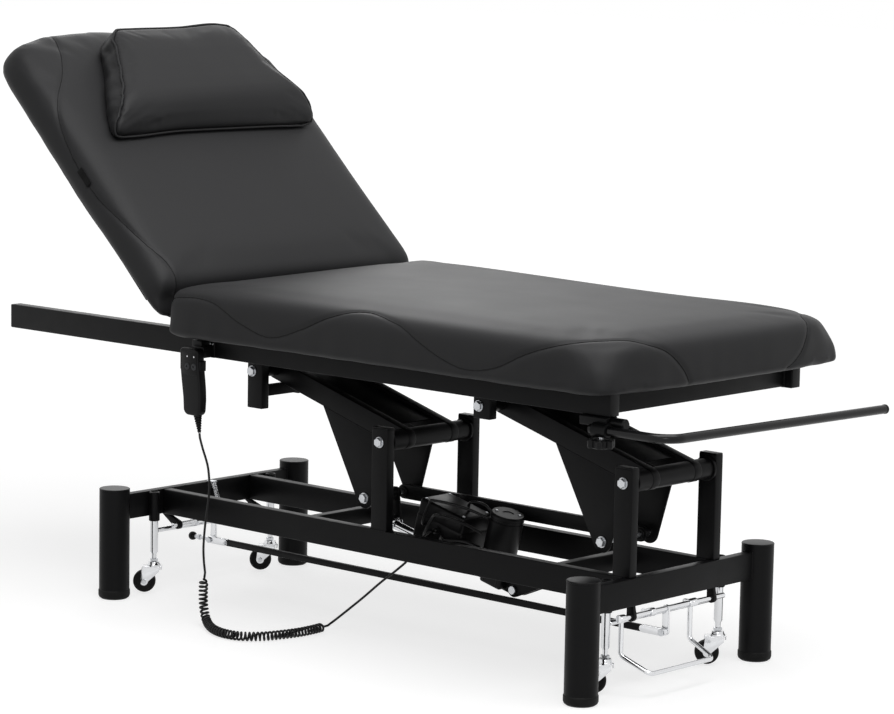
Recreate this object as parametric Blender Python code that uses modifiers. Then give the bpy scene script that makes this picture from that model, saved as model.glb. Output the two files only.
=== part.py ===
"""Electric massage table: a four-legged base, two lifting arms moved by an electric drive, an upper
frame with a bed cushion and a reclining backrest, and casters that a pedal bail lowers.

All lengths are metres. X runs from the head end to the foot end, Y from the near side to the far
side and Z up. The origin lies on the floor, under the middle of the whole table. The pieces are
placed from the middle of the base, and one root empty moves them all to that origin.
"""
from math import atan2, ceil, cos, hypot, pi, radians, sin, tan

import bmesh
import bpy
import numpy
from mathutils import Matrix, Vector

# Clearances and welds
seat_gap = 0.0003          # between pieces that rest on each other
turn_gap = 0.0005          # between a pin and its bore, and beside a turning piece
weld_bite = 0.0010         # how far a welded piece sinks into the next one
overrun = 0.004            # how far a drill runs past the face that it leaves

# Base
base_length = 1.260        # over the legs
leg_diameter = 0.060
leg_height = 0.220
leg_cap_edge = 0.003
leg_foot_height = 0.018
leg_foot_swell = 0.0012
leg_foot_edge = 0.006
base_tube_width = 0.020
base_tube_height = 0.050
base_top_drop = 0.015      # from the leg's top to the top of the base tubes
base_half_width = 0.130    # to the outer faces of the long rails
cross_member_height = 0.033
cross_member_drop = 0.006  # below the top of the rails, so that the link bar clears it
head_member_x = -0.209
foot_member_x = 0.413

# Posts and their pivots
post_width = 0.040
post_top = 0.400
post_pivot_drop = 0.028
head_post_x = 0.0
foot_post_x = 0.585

# Bolts
bolt_radius = 0.005
hex_across_flats = 0.016
hex_height = 0.007

# Lifting arms, at rest 16 degrees above the level
arm_length = 0.3537
arm_rest_angle = radians(16.0)
arm_height = 0.040
arm_half_width = 0.070
arm_tube_width = 0.020
arm_cover_thickness = 0.003
arm_cover_drop = 0.005
arm_cover_inset = 0.034
web_thickness = 0.004
web_inset = 0.001
web_reach = 0.211          # along the arm, where the web leaves the arm's lower edge
web_round = 0.020
lever_along = 0.0562       # the lower pivot, along the arm
lever_drop = 0.1471        # and square to it
post_tube_radius = 0.019
post_collar_radius = 0.023
post_collar_width = 0.006
upper_tube_radius = 0.014
lever_sleeve_radius = 0.012
ear_round = 0.013
ear_thickness = 0.005
drive_along = 0.0342       # the drive pin, along the arm
drive_drop = 0.1981        # and square to it
link_bar_near_y = 0.050
link_bar_thickness = 0.010
link_bar_height = 0.028

# Electric drive
actuator_pivot_x = 0.239
actuator_pivot_z = 0.112
actuator_lug_round = 0.013
actuator_lug_width = 0.020
actuator_lug_length = 0.040
gearbox_start = 0.024
gearbox_length = 0.052
gearbox_width = 0.056
gearbox_below = 0.010      # kept above the link rod's swing
gearbox_above = 0.030
casing_edge = 0.004
motor_along = 0.062
motor_radius = 0.0325
motor_height = 0.128
motor_start = 0.010
motor_rim = 0.004
actuator_tube_radius = 0.015
actuator_tube_reach = 0.225
actuator_bore_start = 0.078
rod_radius = 0.009
rod_start = 0.169
rod_eye_radius = 0.014
rod_eye_bore = 0.006
rod_eye_half = 0.0117      # half of the eye's width
drive_bracket_thickness = 0.005
drive_bracket_round = 0.014
drive_pin_head = 0.003
control_box_start = 0.112
control_box_length = 0.116
control_box_width = 0.085
control_box_height = 0.088
control_box_y = -0.020
control_box_edge = 0.006
gland_radius = 0.006
gland_length = 0.012
gland_along = 0.168
gland_share = 0.5          # of the control box's height

# Upper frame
top_rail_length = 1.556
top_rail_overhang = 0.549  # from the upper pivot to the rails' head end
top_rail_half_width = 0.272
top_rail_width = 0.025
top_rail_height = 0.047
top_rail_above_pivot = 0.0425
top_tube_inset = 0.002     # cross tubes are this much lower than the rails, top and bottom
foot_beam_setback = 0.017
stub_width = 0.040
stub_lead = 0.0135         # from the upper pivot to the stub's head-side face
head_stub_drop = 0.072     # below the upper pivot
foot_stub_drop = 0.0235
head_cross_tube_width = 0.050
head_cross_tube_height = 0.030
tie_plate_thickness = 0.006
tie_plate_height = 0.023
tie_plate_rise = 0.0205
tie_plate_inset = 0.0155   # from the stub's head-side face

# Cushions
pad_width = 0.725
pad_thickness = 0.0925
pad_edge = 0.042
bed_foot_corner = 0.115
back_top_corner = 0.060
back_top_bow = 0.042       # how far the middle of its top end stands out
pad_fold_corner = 0.028    # where the bed and the backrest meet
pad_crown = 0.009
pad_draw = 0.006
underside_share = 0.35      # how round a cushion's lower edges are, beside its upper ones
bed_overhang = 0.017       # from the upper pivot to the bed's head end
bed_length = 1.090
back_length = 0.632
board_thickness = 0.015
board_inset = 0.045
board_play = 0.0005
back_rest_angle = radians(44.5)
back_top_angle = radians(65.0)
fold_clearance = 0.001

# Pillow, which narrows towards its upper edge
pillow_low_width = 0.580
pillow_top_width = 0.306
pillow_shift = 0.013       # towards the far side
pillow_height = 0.240
pillow_thickness = 0.070
pillow_edge = 0.020
pillow_corner = 0.030
pillow_along = 0.377       # from the fold to the pillow's lower edge
pillow_settle = 0.0034     # the smoothed backrest lies this much below its cage
pillow_side_share = 0.12   # how much thinner it is at its sides
pillow_place_shares = (0.0, 0.24, 0.36, 0.75, 1.0)         # of its height, from the lower edge
pillow_thickness_shares = (0.42, 0.97, 1.00, 0.94, 0.80)   # of its thickness, at those places

# Backrest hinges and gas strut
hinge_y = 0.190
hinge_ear_thickness = 0.005
hinge_ear_round = 0.006
hinge_pin_radius = 0.004
hinge_arm_thickness = 0.006
hinge_arm_length = 0.085
hinge_seat_length = 0.028
hinge_seat_rise = 0.003
strut_base_lead = 0.012     # from the upper pivot, towards the head end
strut_base_z_drop = 0.0445  # below the upper pivot
strut_eye_radius = 0.010
strut_eye_width = 0.012
strut_tube_radius = 0.011
strut_neck_radius = 0.0055
strut_neck_length = 0.002
strut_tube_length = 0.270
strut_rod_radius = 0.005
strut_rod_start = 0.205
strut_bore_start = 0.060
strut_rod_eye_radius = 0.009
strut_lug_along = 0.330
strut_lug_drop = 0.075
strut_ear_thickness = 0.004
strut_pin_radius = 0.004

# Casters and their pedal
caster_rail_gap = 0.02125  # between a rail's outer face and the caster's sleeve
wheel_leg_gap = 0.0165     # between the leg and a wheel that trails straight towards it
caster_sleeve_radius = 0.01075
caster_sleeve_length = 0.058
caster_sleeve_drop = 0.001
caster_tube_radius = 0.008
caster_neck_radius = 0.005
caster_neck_z = 0.084
fork_top_z = 0.0645
fork_hub_radius = 0.011
fork_hub_height = 0.009
fork_plate_thickness = 0.003
fork_plate_lip = 0.0006
fork_cheek_thickness = 0.0025
fork_boss_radius = 0.008
fork_trail = 0.019
fork_rest_turn = radians(-48)     # the wheels stand at this turn from trailing to the near side
brake_tab_length = 0.005
brake_tab_width = 0.012
wheel_radius = 0.0225
wheel_width = 0.018
wheel_edge = 0.003
wheel_axle_radius = 0.003
wheel_lift = 0.002
caster_bar_radius = 0.005
caster_bar_z = 0.1257
shaft_radius = 0.005
shaft_z = 0.135
pedal_shaft_half = 0.150
head_shaft_half = 0.130
shaft_lug_y = 0.115
shaft_lug_width = 0.020
shaft_lug_thickness = 0.008
shaft_lug_round = 0.009
cam_y = 0.060
cam_reach = 0.022
cam_thickness = 0.006
cam_height = 0.008
crank_y = -0.020
crank_drop = 0.042
crank_width = 0.014
crank_thickness = 0.005
link_rod_width = 0.010
link_rod_height = 0.014
bail_radius = 0.0045
bail_near_y = -0.144
bail_far_y = 0.052
bail_knee_z = 0.070
bail_out = 0.060
bail_low_z = 0.0445
bail_bend = 0.012
bail_far_low_y = 0.045
bail_near_low_y = -0.134

# Roll bar and its clamp
roll_bar_radius = 0.0082
roll_bar_y = -0.2835
roll_bar_drop = 0.0208     # its axis, below the rail
roll_bar_inside = 0.033    # how far its end lies inside the rails' foot end
roll_bar_outside = 0.1343
roll_bar_bend = 0.040
roll_bar_end_y = 0.350
roll_bar_droop = 0.011
clamp_inside = 0.025
clamp_length = 0.032
clamp_wall = 0.004
clamp_block_inside = 0.062
clamp_block_length = 0.059
peg_radius = 0.0105
peg_y = -0.262
peg_outside = 0.028
peg_edge = 0.003
knob_inside = 0.009
knob_radius = 0.018
knob_lobe_radius = 0.0066
knob_lobes = 6
knob_thickness = 0.016
knob_drop = 0.0150         # from the bar's axis to the knob's top
stud_radius = 0.004

# Handset and its clip
handset_lag = 0.0265       # from the upper pivot, towards the foot end
handset_width = 0.048
handset_waist = 0.040
handset_thickness = 0.020
handset_length = 0.126
handset_top_rise = 0.020   # above the rails' underside
handset_edge = 0.005
clip_width = 0.040
clip_height = 0.034
clip_depth = 0.026
clip_top_rise = 0.034      # above the rails' underside
button_radius = 0.0065
button_spread = 0.009
button_drop = 0.034
button_proud = 0.002
button_length = 0.005
button_pocket = 0.0065
collar_radius = 0.0065
collar_end_radius = 0.0034
collar_length = 0.026
collar_shift = 0.006        # towards the foot end

# Handset cord: a plain drop, a curly stretch that reaches the floor, and a plain lead to the box
cord_radius = 0.00225
cord_run = 0.009           # the straight run at each end of a stretch
curl_radius = 0.0070       # from the curly cord's axis to the middle of its wire
curl_count = 50
curl_points = 8            # points in each curl
curl_ramp_share = 0.75     # of one curl, in which the wire leaves the axis
plain_sides_resolution = 2
curl_sides_resolution = 1
drop_route = [
    (-0.2990, -0.3150, 0.352), (-0.2820, -0.3170, 0.315),
    (-0.2670, -0.3180, 0.275), (-0.2630, -0.3180, 0.240), (-0.2670, -0.3170, 0.200),
    (-0.2730, -0.3150, 0.160), (-0.2740, -0.3130, 0.132),
]
curl_route = [
    (-0.2820, -0.3080, 0.098), (-0.2860, -0.3065, 0.082), (-0.2870, -0.3060, 0.060),
    (-0.2840, -0.3070, 0.038), (-0.2720, -0.3120, 0.0185), (-0.2500, -0.3240, 0.0112),
    (-0.2170, -0.3390, 0.0098), (-0.1820, -0.3450, 0.0098), (-0.1490, -0.3370, 0.0098),
    (-0.1240, -0.3120, 0.0098), (-0.1090, -0.2760, 0.0098), (-0.1000, -0.2370, 0.0098),
    (-0.0990, -0.1980, 0.0098), (-0.1020, -0.1650, 0.0100),
]
lead_route = [
    (-0.0980, -0.1380, 0.0205), (-0.0820, -0.1200, 0.0400),
    (-0.0560, -0.1060, 0.0660), (-0.0220, -0.0960, 0.0980), (0.0100, -0.0900, 0.1240),
    (0.0400, -0.0870, 0.1500), (0.0600, -0.0850, 0.1750), (0.0700, -0.0830, 0.1950),
]

# Round shapes: how many sides each size of circle gets
large_sides = 20
medium_sides = 12
small_sides = 8
hole_sides = 8
corner_steps = 3

# Places worked out from the sizes above
leg_x = (base_length - leg_diameter) / 2
caster_y = base_half_width + caster_rail_gap + caster_sleeve_radius
leg_y = caster_y + fork_trail + wheel_radius + wheel_leg_gap + leg_diameter / 2
base_top = leg_height - base_top_drop
base_bottom = base_top - base_tube_height
beam_inner_x = leg_x - base_tube_width / 2
rail_inner_y = base_half_width - base_tube_width
member_top = base_top - cross_member_drop
post_pivot_z = post_top - post_pivot_drop
upper_pivot_dx = -arm_length * cos(arm_rest_angle)
upper_pivot_z = post_pivot_z + arm_length * sin(arm_rest_angle)
top_rail_bottom = upper_pivot_z + top_rail_above_pivot
top_rail_top = top_rail_bottom + top_rail_height
top_rail_head_x = head_post_x + upper_pivot_dx - top_rail_overhang
top_rail_foot_x = top_rail_head_x + top_rail_length
top_inner_y = top_rail_half_width - top_rail_width
pad_bottom = top_rail_top + seat_gap
fold_gap = pad_edge / cos(back_top_angle / 2) - pad_edge + fold_clearance
bed_head_x = head_post_x + upper_pivot_dx - bed_overhang
hinge_x = bed_head_x - fold_gap
hinge_z = pad_bottom + pad_thickness - pad_edge
pad_below_hinge = pad_thickness - pad_edge
caster_x = beam_inner_x - caster_sleeve_radius + weld_bite
wheel_z = wheel_radius + wheel_lift
head_shaft_x = leg_x - 2 * caster_x
link_rod_span = leg_x - head_shaft_x
crank_pin_z = shaft_z - crank_drop
roll_bar_z = top_rail_bottom - roll_bar_drop
roll_bar_start_x = top_rail_foot_x - roll_bar_inside
roll_bar_end_x = top_rail_foot_x + roll_bar_outside
clamp_start_x = top_rail_foot_x - clamp_inside
clamp_block_start_x = top_rail_foot_x - clamp_block_inside
peg_end_x = top_rail_foot_x + peg_outside
knob_x = top_rail_foot_x - knob_inside
handset_x = head_post_x + upper_pivot_dx + handset_lag
handset_top_z = top_rail_bottom + handset_top_rise
clip_top_z = top_rail_bottom + clip_top_rise
strut_base_x = head_post_x + upper_pivot_dx - strut_base_lead
rail_outer_near = -top_rail_half_width
handset_back_y = rail_outer_near - seat_gap - clip_depth - seat_gap
handset_y = handset_back_y - handset_thickness / 2
origin_shift = -(top_rail_head_x + roll_bar_end_x + roll_bar_radius) / 2


def clear_scene():
    """Remove whatever the scene holds."""
    for item in list(bpy.data.objects):
        bpy.data.objects.remove(item, do_unlink=True)


def new_collection(name):
    group = bpy.data.collections.new(name)
    bpy.context.scene.collection.children.link(group)
    return group


def new_material(name, colour, roughness, metallic):
    """A Principled material from an sRGB colour."""
    finish = bpy.data.materials.new(name)
    finish.use_nodes = True
    shader = finish.node_tree.nodes["Principled BSDF"]
    linear = [channel / 12.92 if channel <= 0.04045 else ((channel + 0.055) / 1.055) ** 2.4
              for channel in (value / 255 for value in colour)]
    shader.inputs["Base Color"].default_value = (*linear, 1)
    shader.inputs["Roughness"].default_value = roughness
    shader.inputs["Metallic"].default_value = metallic
    return finish


def new_object(shape, smooth=True):
    """An object from a bmesh, with its round sides shaded smooth."""
    mesh = bpy.data.meshes.new("shape")
    shape.to_mesh(mesh)
    shape.free()
    if smooth:
        mesh.shade_smooth()
        mesh.set_sharp_from_angle(angle=radians(35))
    return bpy.data.objects.new("shape", mesh)


def new_empty(name, place, parent=None, turn=0.0, heading=0.0):
    """An empty on a joint's axis; turn tips it about Y and heading turns it about Z."""
    empty = bpy.data.objects.new(name, None)
    bpy.context.scene.collection.objects.link(empty)
    empty.empty_display_size = leg_diameter
    empty.location = place
    empty.rotation_euler = (0, turn, heading)
    empty.parent = parent
    return empty


def block(low, high, edge=0.0):
    """A box between two corners, with its edges bevelled where edge is given."""
    low = Vector(low)
    high = Vector(high)
    shape = bmesh.new()
    bmesh.ops.create_cube(shape, size=1)
    bmesh.ops.scale(shape, vec=high - low, verts=shape.verts)
    bmesh.ops.translate(shape, vec=(low + high) / 2, verts=shape.verts)
    item = new_object(shape, smooth=False)
    if edge > 0:
        bevel = item.modifiers.new("edges", "BEVEL")
        bevel.width = edge
        bevel.segments = 2
        bevel.limit_method = "ANGLE"
    return item


def rod(start, end, radius, sides=small_sides, end_radius=None):
    """A round bar between two points, or a cone where the end has its own radius."""
    start = Vector(start)
    end = Vector(end)
    span = end - start
    shape = bmesh.new()
    bmesh.ops.create_cone(
        shape, cap_ends=True, cap_tris=False, segments=sides, radius1=radius,
        radius2=radius if end_radius is None else end_radius, depth=span.length)
    turn = span.to_track_quat("Z", "Y").to_matrix().to_4x4()
    shape.transform(Matrix.Translation((start + end) / 2) @ turn)
    return new_object(shape)


def cross_rod(x, z, y_start, y_end, radius, sides=small_sides):
    """A round bar along Y."""
    return rod((x, y_start, z), (x, y_end, z), radius, sides)


def drill(start, end, radius):
    """A cutter for a hole whose flats lie at the given radius."""
    return rod(start, end, radius / cos(pi / hole_sides), hole_sides)


def cross_drill(x, z, y_start, y_end, radius):
    """A cutter for a hole along Y."""
    return drill((x, y_start, z), (x, y_end, z), radius)


def hex_head(x, z, y_start, y_end):
    """A bolt's head or nut, along Y."""
    return rod((x, y_start, z), (x, y_end, z), hex_across_flats / 2 / cos(pi / 6), 6)


def turned(profile, centre, sides=medium_sides, axis="Z"):
    """A profile of (radius, height) points, from top to bottom, turned about an upright axis."""
    mesh = bpy.data.meshes.new("profile")
    edges = [(index, index + 1) for index in range(len(profile) - 1)]
    mesh.from_pydata([(radius, 0, height) for radius, height in profile], edges, [])
    item = bpy.data.objects.new("shape", mesh)
    item.location = centre
    if axis == "X":
        item.rotation_euler = (0, pi / 2, 0)
    screw = item.modifiers.new("turn", "SCREW")
    screw.steps = sides
    screw.render_steps = sides
    screw.use_merge_vertices = True
    screw.merge_threshold = 0.00001
    screw.use_smooth_shade = True
    return item


def arc(centre, radius, start, end, steps=corner_steps):
    """Points on a circle about centre, from one angle to another."""
    return [(centre[0] + radius * cos(start + (end - start) * step / steps),
             centre[1] + radius * sin(start + (end - start) * step / steps))
            for step in range(steps + 1)]


def round_bar(first, last, radius, steps=corner_steps * 2):
    """The outline of a flat bar with round ends about two points."""
    heading = atan2(last[1] - first[1], last[0] - first[0])
    return (arc(last, radius, heading - pi / 2, heading + pi / 2, steps)
            + arc(first, radius, heading + pi / 2, heading + 3 * pi / 2, steps))


def mesh_from_curve(curve, turn=None):
    """Turn a curve into a closed mesh object."""
    item = bpy.data.objects.new("curve", curve)
    bpy.context.scene.collection.objects.link(item)
    bpy.context.view_layer.update()
    mesh = bpy.data.meshes.new_from_object(
        item.evaluated_get(bpy.context.evaluated_depsgraph_get()))
    bpy.data.objects.remove(item, do_unlink=True)
    shape = bmesh.new()
    shape.from_mesh(mesh)
    bmesh.ops.remove_doubles(shape, verts=shape.verts, dist=0.00001)
    if turn:
        shape.transform(turn)
    bmesh.ops.recalc_face_normals(shape, faces=shape.faces)
    return new_object(shape)


def plate(outline, y_start, y_end):
    """A flat plate, square to Y, from an outline of (x, z) points."""
    curve = bpy.data.curves.new("outline", "CURVE")
    curve.dimensions = "2D"
    curve.fill_mode = "BOTH"
    curve.extrude = (y_end - y_start) / 2
    spline = curve.splines.new("POLY")
    spline.points.add(len(outline) - 1)
    for point, (x, z) in zip(spline.points, outline):
        point.co = (x, z, 0, 1)
    spline.use_cyclic_u = True
    upright = Matrix.Translation((0, (y_start + y_end) / 2, 0)) @ Matrix.Rotation(pi / 2, 4, "X")
    return mesh_from_curve(curve, upright)


def tube_curve(points, radius, resolution):
    """A POLY curve with a round bevel and filled caps."""
    curve = bpy.data.curves.new("tube", "CURVE")
    curve.dimensions = "3D"
    curve.bevel_depth = radius
    curve.bevel_resolution = resolution
    curve.use_fill_caps = True
    spline = curve.splines.new("POLY")
    spline.points.add(len(points) - 1)
    for point, place in zip(spline.points, points):
        point.co = (*place, 1)
    spline.use_smooth = True
    return curve


def tube(points, radius, resolution=2):
    """A round tube along points, as a mesh that can be joined."""
    return mesh_from_curve(tube_curve(points, radius, resolution))


def rounded_path(corners, bend, steps=corner_steps):
    """A path through corners, each turned into an arc of the given bend radius."""
    corners = [Vector(corner) for corner in corners]
    path = [corners[0]]
    for before, corner, after in zip(corners, corners[1:], corners[2:]):
        back = (before - corner).normalized()
        ahead = (after - corner).normalized()
        half = back.angle(ahead) / 2
        centre = corner + (back + ahead).normalized() * bend / sin(half)
        first = corner + back * bend / tan(half)
        last = corner + ahead * bend / tan(half)
        for step in range(steps + 1):
            spoke = (first - centre).lerp(last - centre, step / steps).normalized()
            path.append(centre + spoke * bend)
    path.append(corners[-1])
    return path


def smooth_route(route, spacing):
    """Evenly spaced points on a smooth curve through a cord's route."""
    points = [Vector(place) for place in route]
    ends = [points[0] * 2 - points[1]] + points + [points[-1] * 2 - points[-2]]
    fine = []
    for before, start, end, after in zip(ends, ends[1:], ends[2:], ends[3:]):
        steps = max(2, ceil((end - start).length / spacing * 4))
        for step in range(steps):
            share = step / steps
            fine.append(0.5 * (2 * start + (end - before) * share
                               + (2 * before - 5 * start + 4 * end - after) * share ** 2
                               + (3 * start - before - 3 * end + after) * share ** 3))
    fine.append(points[-1])
    reach = [0.0]
    for start, end in zip(fine, fine[1:]):
        reach.append(reach[-1] + (end - start).length)
    count = max(2, round(reach[-1] / spacing))
    even = numpy.linspace(0, reach[-1], count + 1)
    columns = [numpy.interp(even, reach, [point[axis] for point in fine]) for axis in range(3)]
    return [Vector(place) for place in zip(*columns)]


def add_part(name, finish, parent, body, joined=(), cuts=()):
    """Put a piece in the table: its body, what is welded to it, and what is cut from it."""
    body.name = name
    body.parent = parent
    body.data.name = name
    body.data.materials.append(finish)
    parts.objects.link(body)
    for operation, shapes in (("UNION", joined), ("DIFFERENCE", cuts)):
        for shape in shapes:
            shape.name = name + "." + operation.lower()
            shape.parent = parent
            shape.hide_render = True
            shape.display_type = "WIRE"
            cutters.objects.link(shape)
            step = body.modifiers.new(operation.lower(), "BOOLEAN")
            step.operation = operation
            step.solver = "EXACT"
            step.object = shape
    return body


def add_legs(root):
    """Four round legs, each with a cap edge on top and a plastic foot."""
    radius = leg_diameter / 2
    foot = radius + leg_foot_swell
    profile = [
        (0, leg_height), (radius - leg_cap_edge, leg_height), (radius, leg_height - leg_cap_edge),
        (radius, leg_foot_height + leg_foot_swell), (foot, leg_foot_height),
        (foot, leg_foot_edge), (foot - leg_foot_edge, 0), (0, 0),
    ]
    for end, x in (("head", -leg_x), ("foot", leg_x)):
        for side, y in (("near", -leg_y), ("far", leg_y)):
            add_part(f"leg_{end}_{side}", black_paint, root, turned(profile, (x, y, 0), large_sides))


def add_end_beam(name, x, inward, shaft_x, root):
    """A beam between two legs, with the sleeves of two casters and the lugs of a pedal shaft."""
    half = base_tube_width / 2
    beam = block((x - half, -leg_y, base_bottom), (x + half, leg_y, base_top))
    joined = []
    cope = (leg_diameter / 2 + seat_gap) / cos(pi / large_sides)
    cuts = [rod((x, side * leg_y, base_bottom - overrun), (x, side * leg_y, base_top + overrun),
                cope, large_sides) for side in (-1, 1)]
    stem_x = inward * caster_x
    sleeve_top = base_top - caster_sleeve_drop
    for side in (-1, 1):
        y = side * caster_y
        joined.append(rod((stem_x, y, sleeve_top - caster_sleeve_length), (stem_x, y, sleeve_top),
                          caster_sleeve_radius, medium_sides))
        cuts.append(drill((stem_x, y, sleeve_top - caster_sleeve_length - overrun),
                          (stem_x, y, sleeve_top + overrun), caster_tube_radius + turn_gap))
        lug_y = side * shaft_lug_y
        heading = atan2(shaft_z - base_bottom, shaft_x - x)
        lug_top = base_bottom + weld_bite
        outline = ([(x - shaft_lug_round, lug_top), (x + shaft_lug_round / 2, lug_top)]
                   + arc((shaft_x, shaft_z), shaft_lug_round, heading + pi / 2, heading - pi / 2,
                         corner_steps * 2))
        joined.append(plate(outline, lug_y - shaft_lug_thickness / 2,
                            lug_y + shaft_lug_thickness / 2))
        cuts.append(cross_drill(shaft_x, shaft_z, lug_y - shaft_lug_thickness,
                                lug_y + shaft_lug_thickness, shaft_radius + turn_gap))
    add_part(name, black_paint, root, beam, joined, cuts)


def add_base_rails(root):
    """The two long rails, each in one piece with its two posts."""
    half = post_width / 2
    end = beam_inner_x - seat_gap
    step = base_top + seat_gap
    outline = [(-end, base_bottom), (end, base_bottom)]
    if foot_post_x + half > end:
        outline += [(end, step), (foot_post_x + half, step)]
    else:
        outline += [(end, base_top), (foot_post_x + half, base_top)]
    outline += [(foot_post_x + half, post_top), (foot_post_x - half, post_top),
                (foot_post_x - half, base_top), (head_post_x + half, base_top),
                (head_post_x + half, post_top), (head_post_x - half, post_top),
                (head_post_x - half, base_top), (-end, base_top)]
    for side, sign in (("near", -1), ("far", 1)):
        faces = sorted((sign * rail_inner_y, sign * base_half_width))
        cuts = [cross_drill(x, post_pivot_z, faces[0] - overrun, faces[1] + overrun,
                            bolt_radius + seat_gap) for x in (head_post_x, foot_post_x)]
        add_part(f"{side}_base_rail", black_paint, root, plate(outline, *faces), cuts=cuts)


def add_cross_members(root):
    """Two members between the rails; the foot one carries the drive's bracket and pivot pin."""
    half = base_tube_width / 2
    reach = rail_inner_y - seat_gap
    low = member_top - cross_member_height
    add_part("head_cross_member", black_paint, root,
             block((head_member_x - half, -reach, low), (head_member_x + half, reach, member_top)))
    pivot = (actuator_pivot_x, actuator_pivot_z)
    face = foot_member_x - half + weld_bite
    heading = atan2((low + member_top) / 2 - pivot[1], face - pivot[0])
    outline = (arc(pivot, drive_bracket_round, heading + pi / 2, heading + 3 * pi / 2,
                   corner_steps * 2)
               + [(face, low + weld_bite), (face, member_top - weld_bite)])
    inner = actuator_lug_width / 2 + turn_gap
    outer = inner + drive_bracket_thickness
    joined = [plate(outline, -outer, -inner), plate(outline, inner, outer),
              cross_rod(*pivot, -outer - drive_pin_head, outer + drive_pin_head, bolt_radius)]
    add_part("foot_cross_member", black_paint, root,
             block((foot_member_x - half, -reach, low), (foot_member_x + half, reach, member_top)),
             joined)


def through_bolt(name, parent, x, z, half_span):
    """A bolt along Y with a hex head and a nut outside the two faces that it clamps."""
    face = half_span + seat_gap
    end = face + hex_height
    add_part(name, zinc, parent, cross_rod(x, z, -end + weld_bite, end - weld_bite, bolt_radius),
             [hex_head(x, z, -end, -face), hex_head(x, z, face, end)])


def add_arm(name, pivot, lever_name, with_drive):
    """A lifting arm: two side tubes, a recessed cover, two webs, and its three pivot tubes."""
    half = arm_height / 2
    outline = round_bar((0, 0), (-arm_length, 0), half)
    tube_inner = arm_half_width - arm_tube_width
    body = plate(outline, -arm_half_width, -tube_inner)
    joined = [plate(outline, tube_inner, arm_half_width)]
    cover_top = half - arm_cover_drop
    joined.append(block(
        (-arm_length + arm_cover_inset, -tube_inner - weld_bite, cover_top - arm_cover_thickness),
        (-arm_cover_inset, tube_inner + weld_bite, cover_top)))
    lever = (-lever_along, -lever_drop)
    top = -half + weld_bite
    slope = atan2(lever[1] - top, lever[0] + web_reach)
    web = ([(lever[0] + web_round, top), (-web_reach, top)]
           + arc(lever, web_round, slope - pi / 2, 0, corner_steps * 2))
    web_outer = arm_half_width - web_inset
    web_inner = web_outer - web_thickness
    joined += [plate(web, -web_outer, -web_inner), plate(web, web_inner, web_outer)]
    reach = rail_inner_y - turn_gap
    joined.append(cross_rod(0, 0, -reach, reach, post_tube_radius, medium_sides))
    joined.append(cross_rod(0, 0, reach - post_collar_width, reach, post_collar_radius, medium_sides))
    joined.append(cross_rod(-arm_length, 0, -reach, reach, upper_tube_radius, medium_sides))
    bore = bolt_radius + turn_gap
    cuts = [cross_drill(0, 0, -reach - overrun, reach + overrun, bore),
            cross_drill(-arm_length, 0, -reach - overrun, reach + overrun, bore)]
    if with_drive:
        drive = (-drive_along, -drive_drop)
        ear_inner = rod_eye_half + seat_gap
        ear_outer = ear_inner + ear_thickness
        joined.append(cross_rod(*lever, -web_inner - weld_bite, ear_outer + ear_thickness,
                                lever_sleeve_radius, medium_sides))
        for sign in (-1, 1):
            faces = sorted((sign * ear_inner, sign * ear_outer))
            joined.append(plate(round_bar(lever, drive, ear_round), *faces))
            ends = sorted((sign * (ear_outer - weld_bite), sign * (ear_outer + hex_height)))
            joined.append(hex_head(*drive, *ends))
    cuts.append(cross_drill(*lever, -web_outer - overrun, web_outer + overrun,
                            bolt_radius + seat_gap))
    add_part(name, black_paint, pivot, body, joined, cuts)
    through_bolt(lever_name, pivot, *lever, web_outer)


def add_link_bar(pivot):
    """The flat bar that keeps the two levers parallel."""
    span = foot_post_x - head_post_x
    faces = (link_bar_near_y - link_bar_thickness, link_bar_near_y)
    cuts = [cross_drill(x, 0, faces[0] - overrun, faces[1] + overrun, bolt_radius + turn_gap)
            for x in (0, span)]
    add_part("link_bar", black_paint, pivot,
             plate(round_bar((0, 0), (span, 0), link_bar_height / 2), *faces), cuts=cuts)


def add_actuator(pivot, slide):
    """Gearbox, upright motor and outer tube in one casing, and the rod that slides in the tube."""
    half = actuator_lug_width / 2
    gear_half = gearbox_width / 2
    gear_end = gearbox_start + gearbox_length
    casing = block((-gear_end, -gear_half, -gearbox_below),
                   (-gearbox_start, gear_half, gearbox_above), casing_edge)
    motor = turned([(0, motor_height), (motor_radius - motor_rim, motor_height),
                    (motor_radius, motor_height - motor_rim), (motor_radius, motor_start),
                    (0, motor_start)], (-motor_along, 0, 0), large_sides)
    joined = [
        motor,
        plate(round_bar((0, 0), (-actuator_lug_length, 0), actuator_lug_round), -half, half),
        rod((-gear_end + weld_bite, 0, 0), (-actuator_tube_reach, 0, 0), actuator_tube_radius,
            medium_sides),
    ]
    cuts = [cross_drill(0, 0, -half - overrun, half + overrun, bolt_radius + turn_gap),
            drill((-actuator_bore_start, 0, 0), (-actuator_tube_reach - overrun, 0, 0),
                  rod_radius + seat_gap)]
    add_part("actuator_body", black_plastic, pivot, casing, joined, cuts)
    add_part("actuator_rod", chrome, slide,
             rod((-rod_start, 0, 0), (-drive_reach, 0, 0), rod_radius, medium_sides),
             [cross_rod(-drive_reach, 0, -rod_eye_half, rod_eye_half, rod_eye_radius, medium_sides)],
             [cross_drill(-drive_reach, 0, -rod_eye_half - overrun, rod_eye_half + overrun,
                          rod_eye_bore)])


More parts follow.
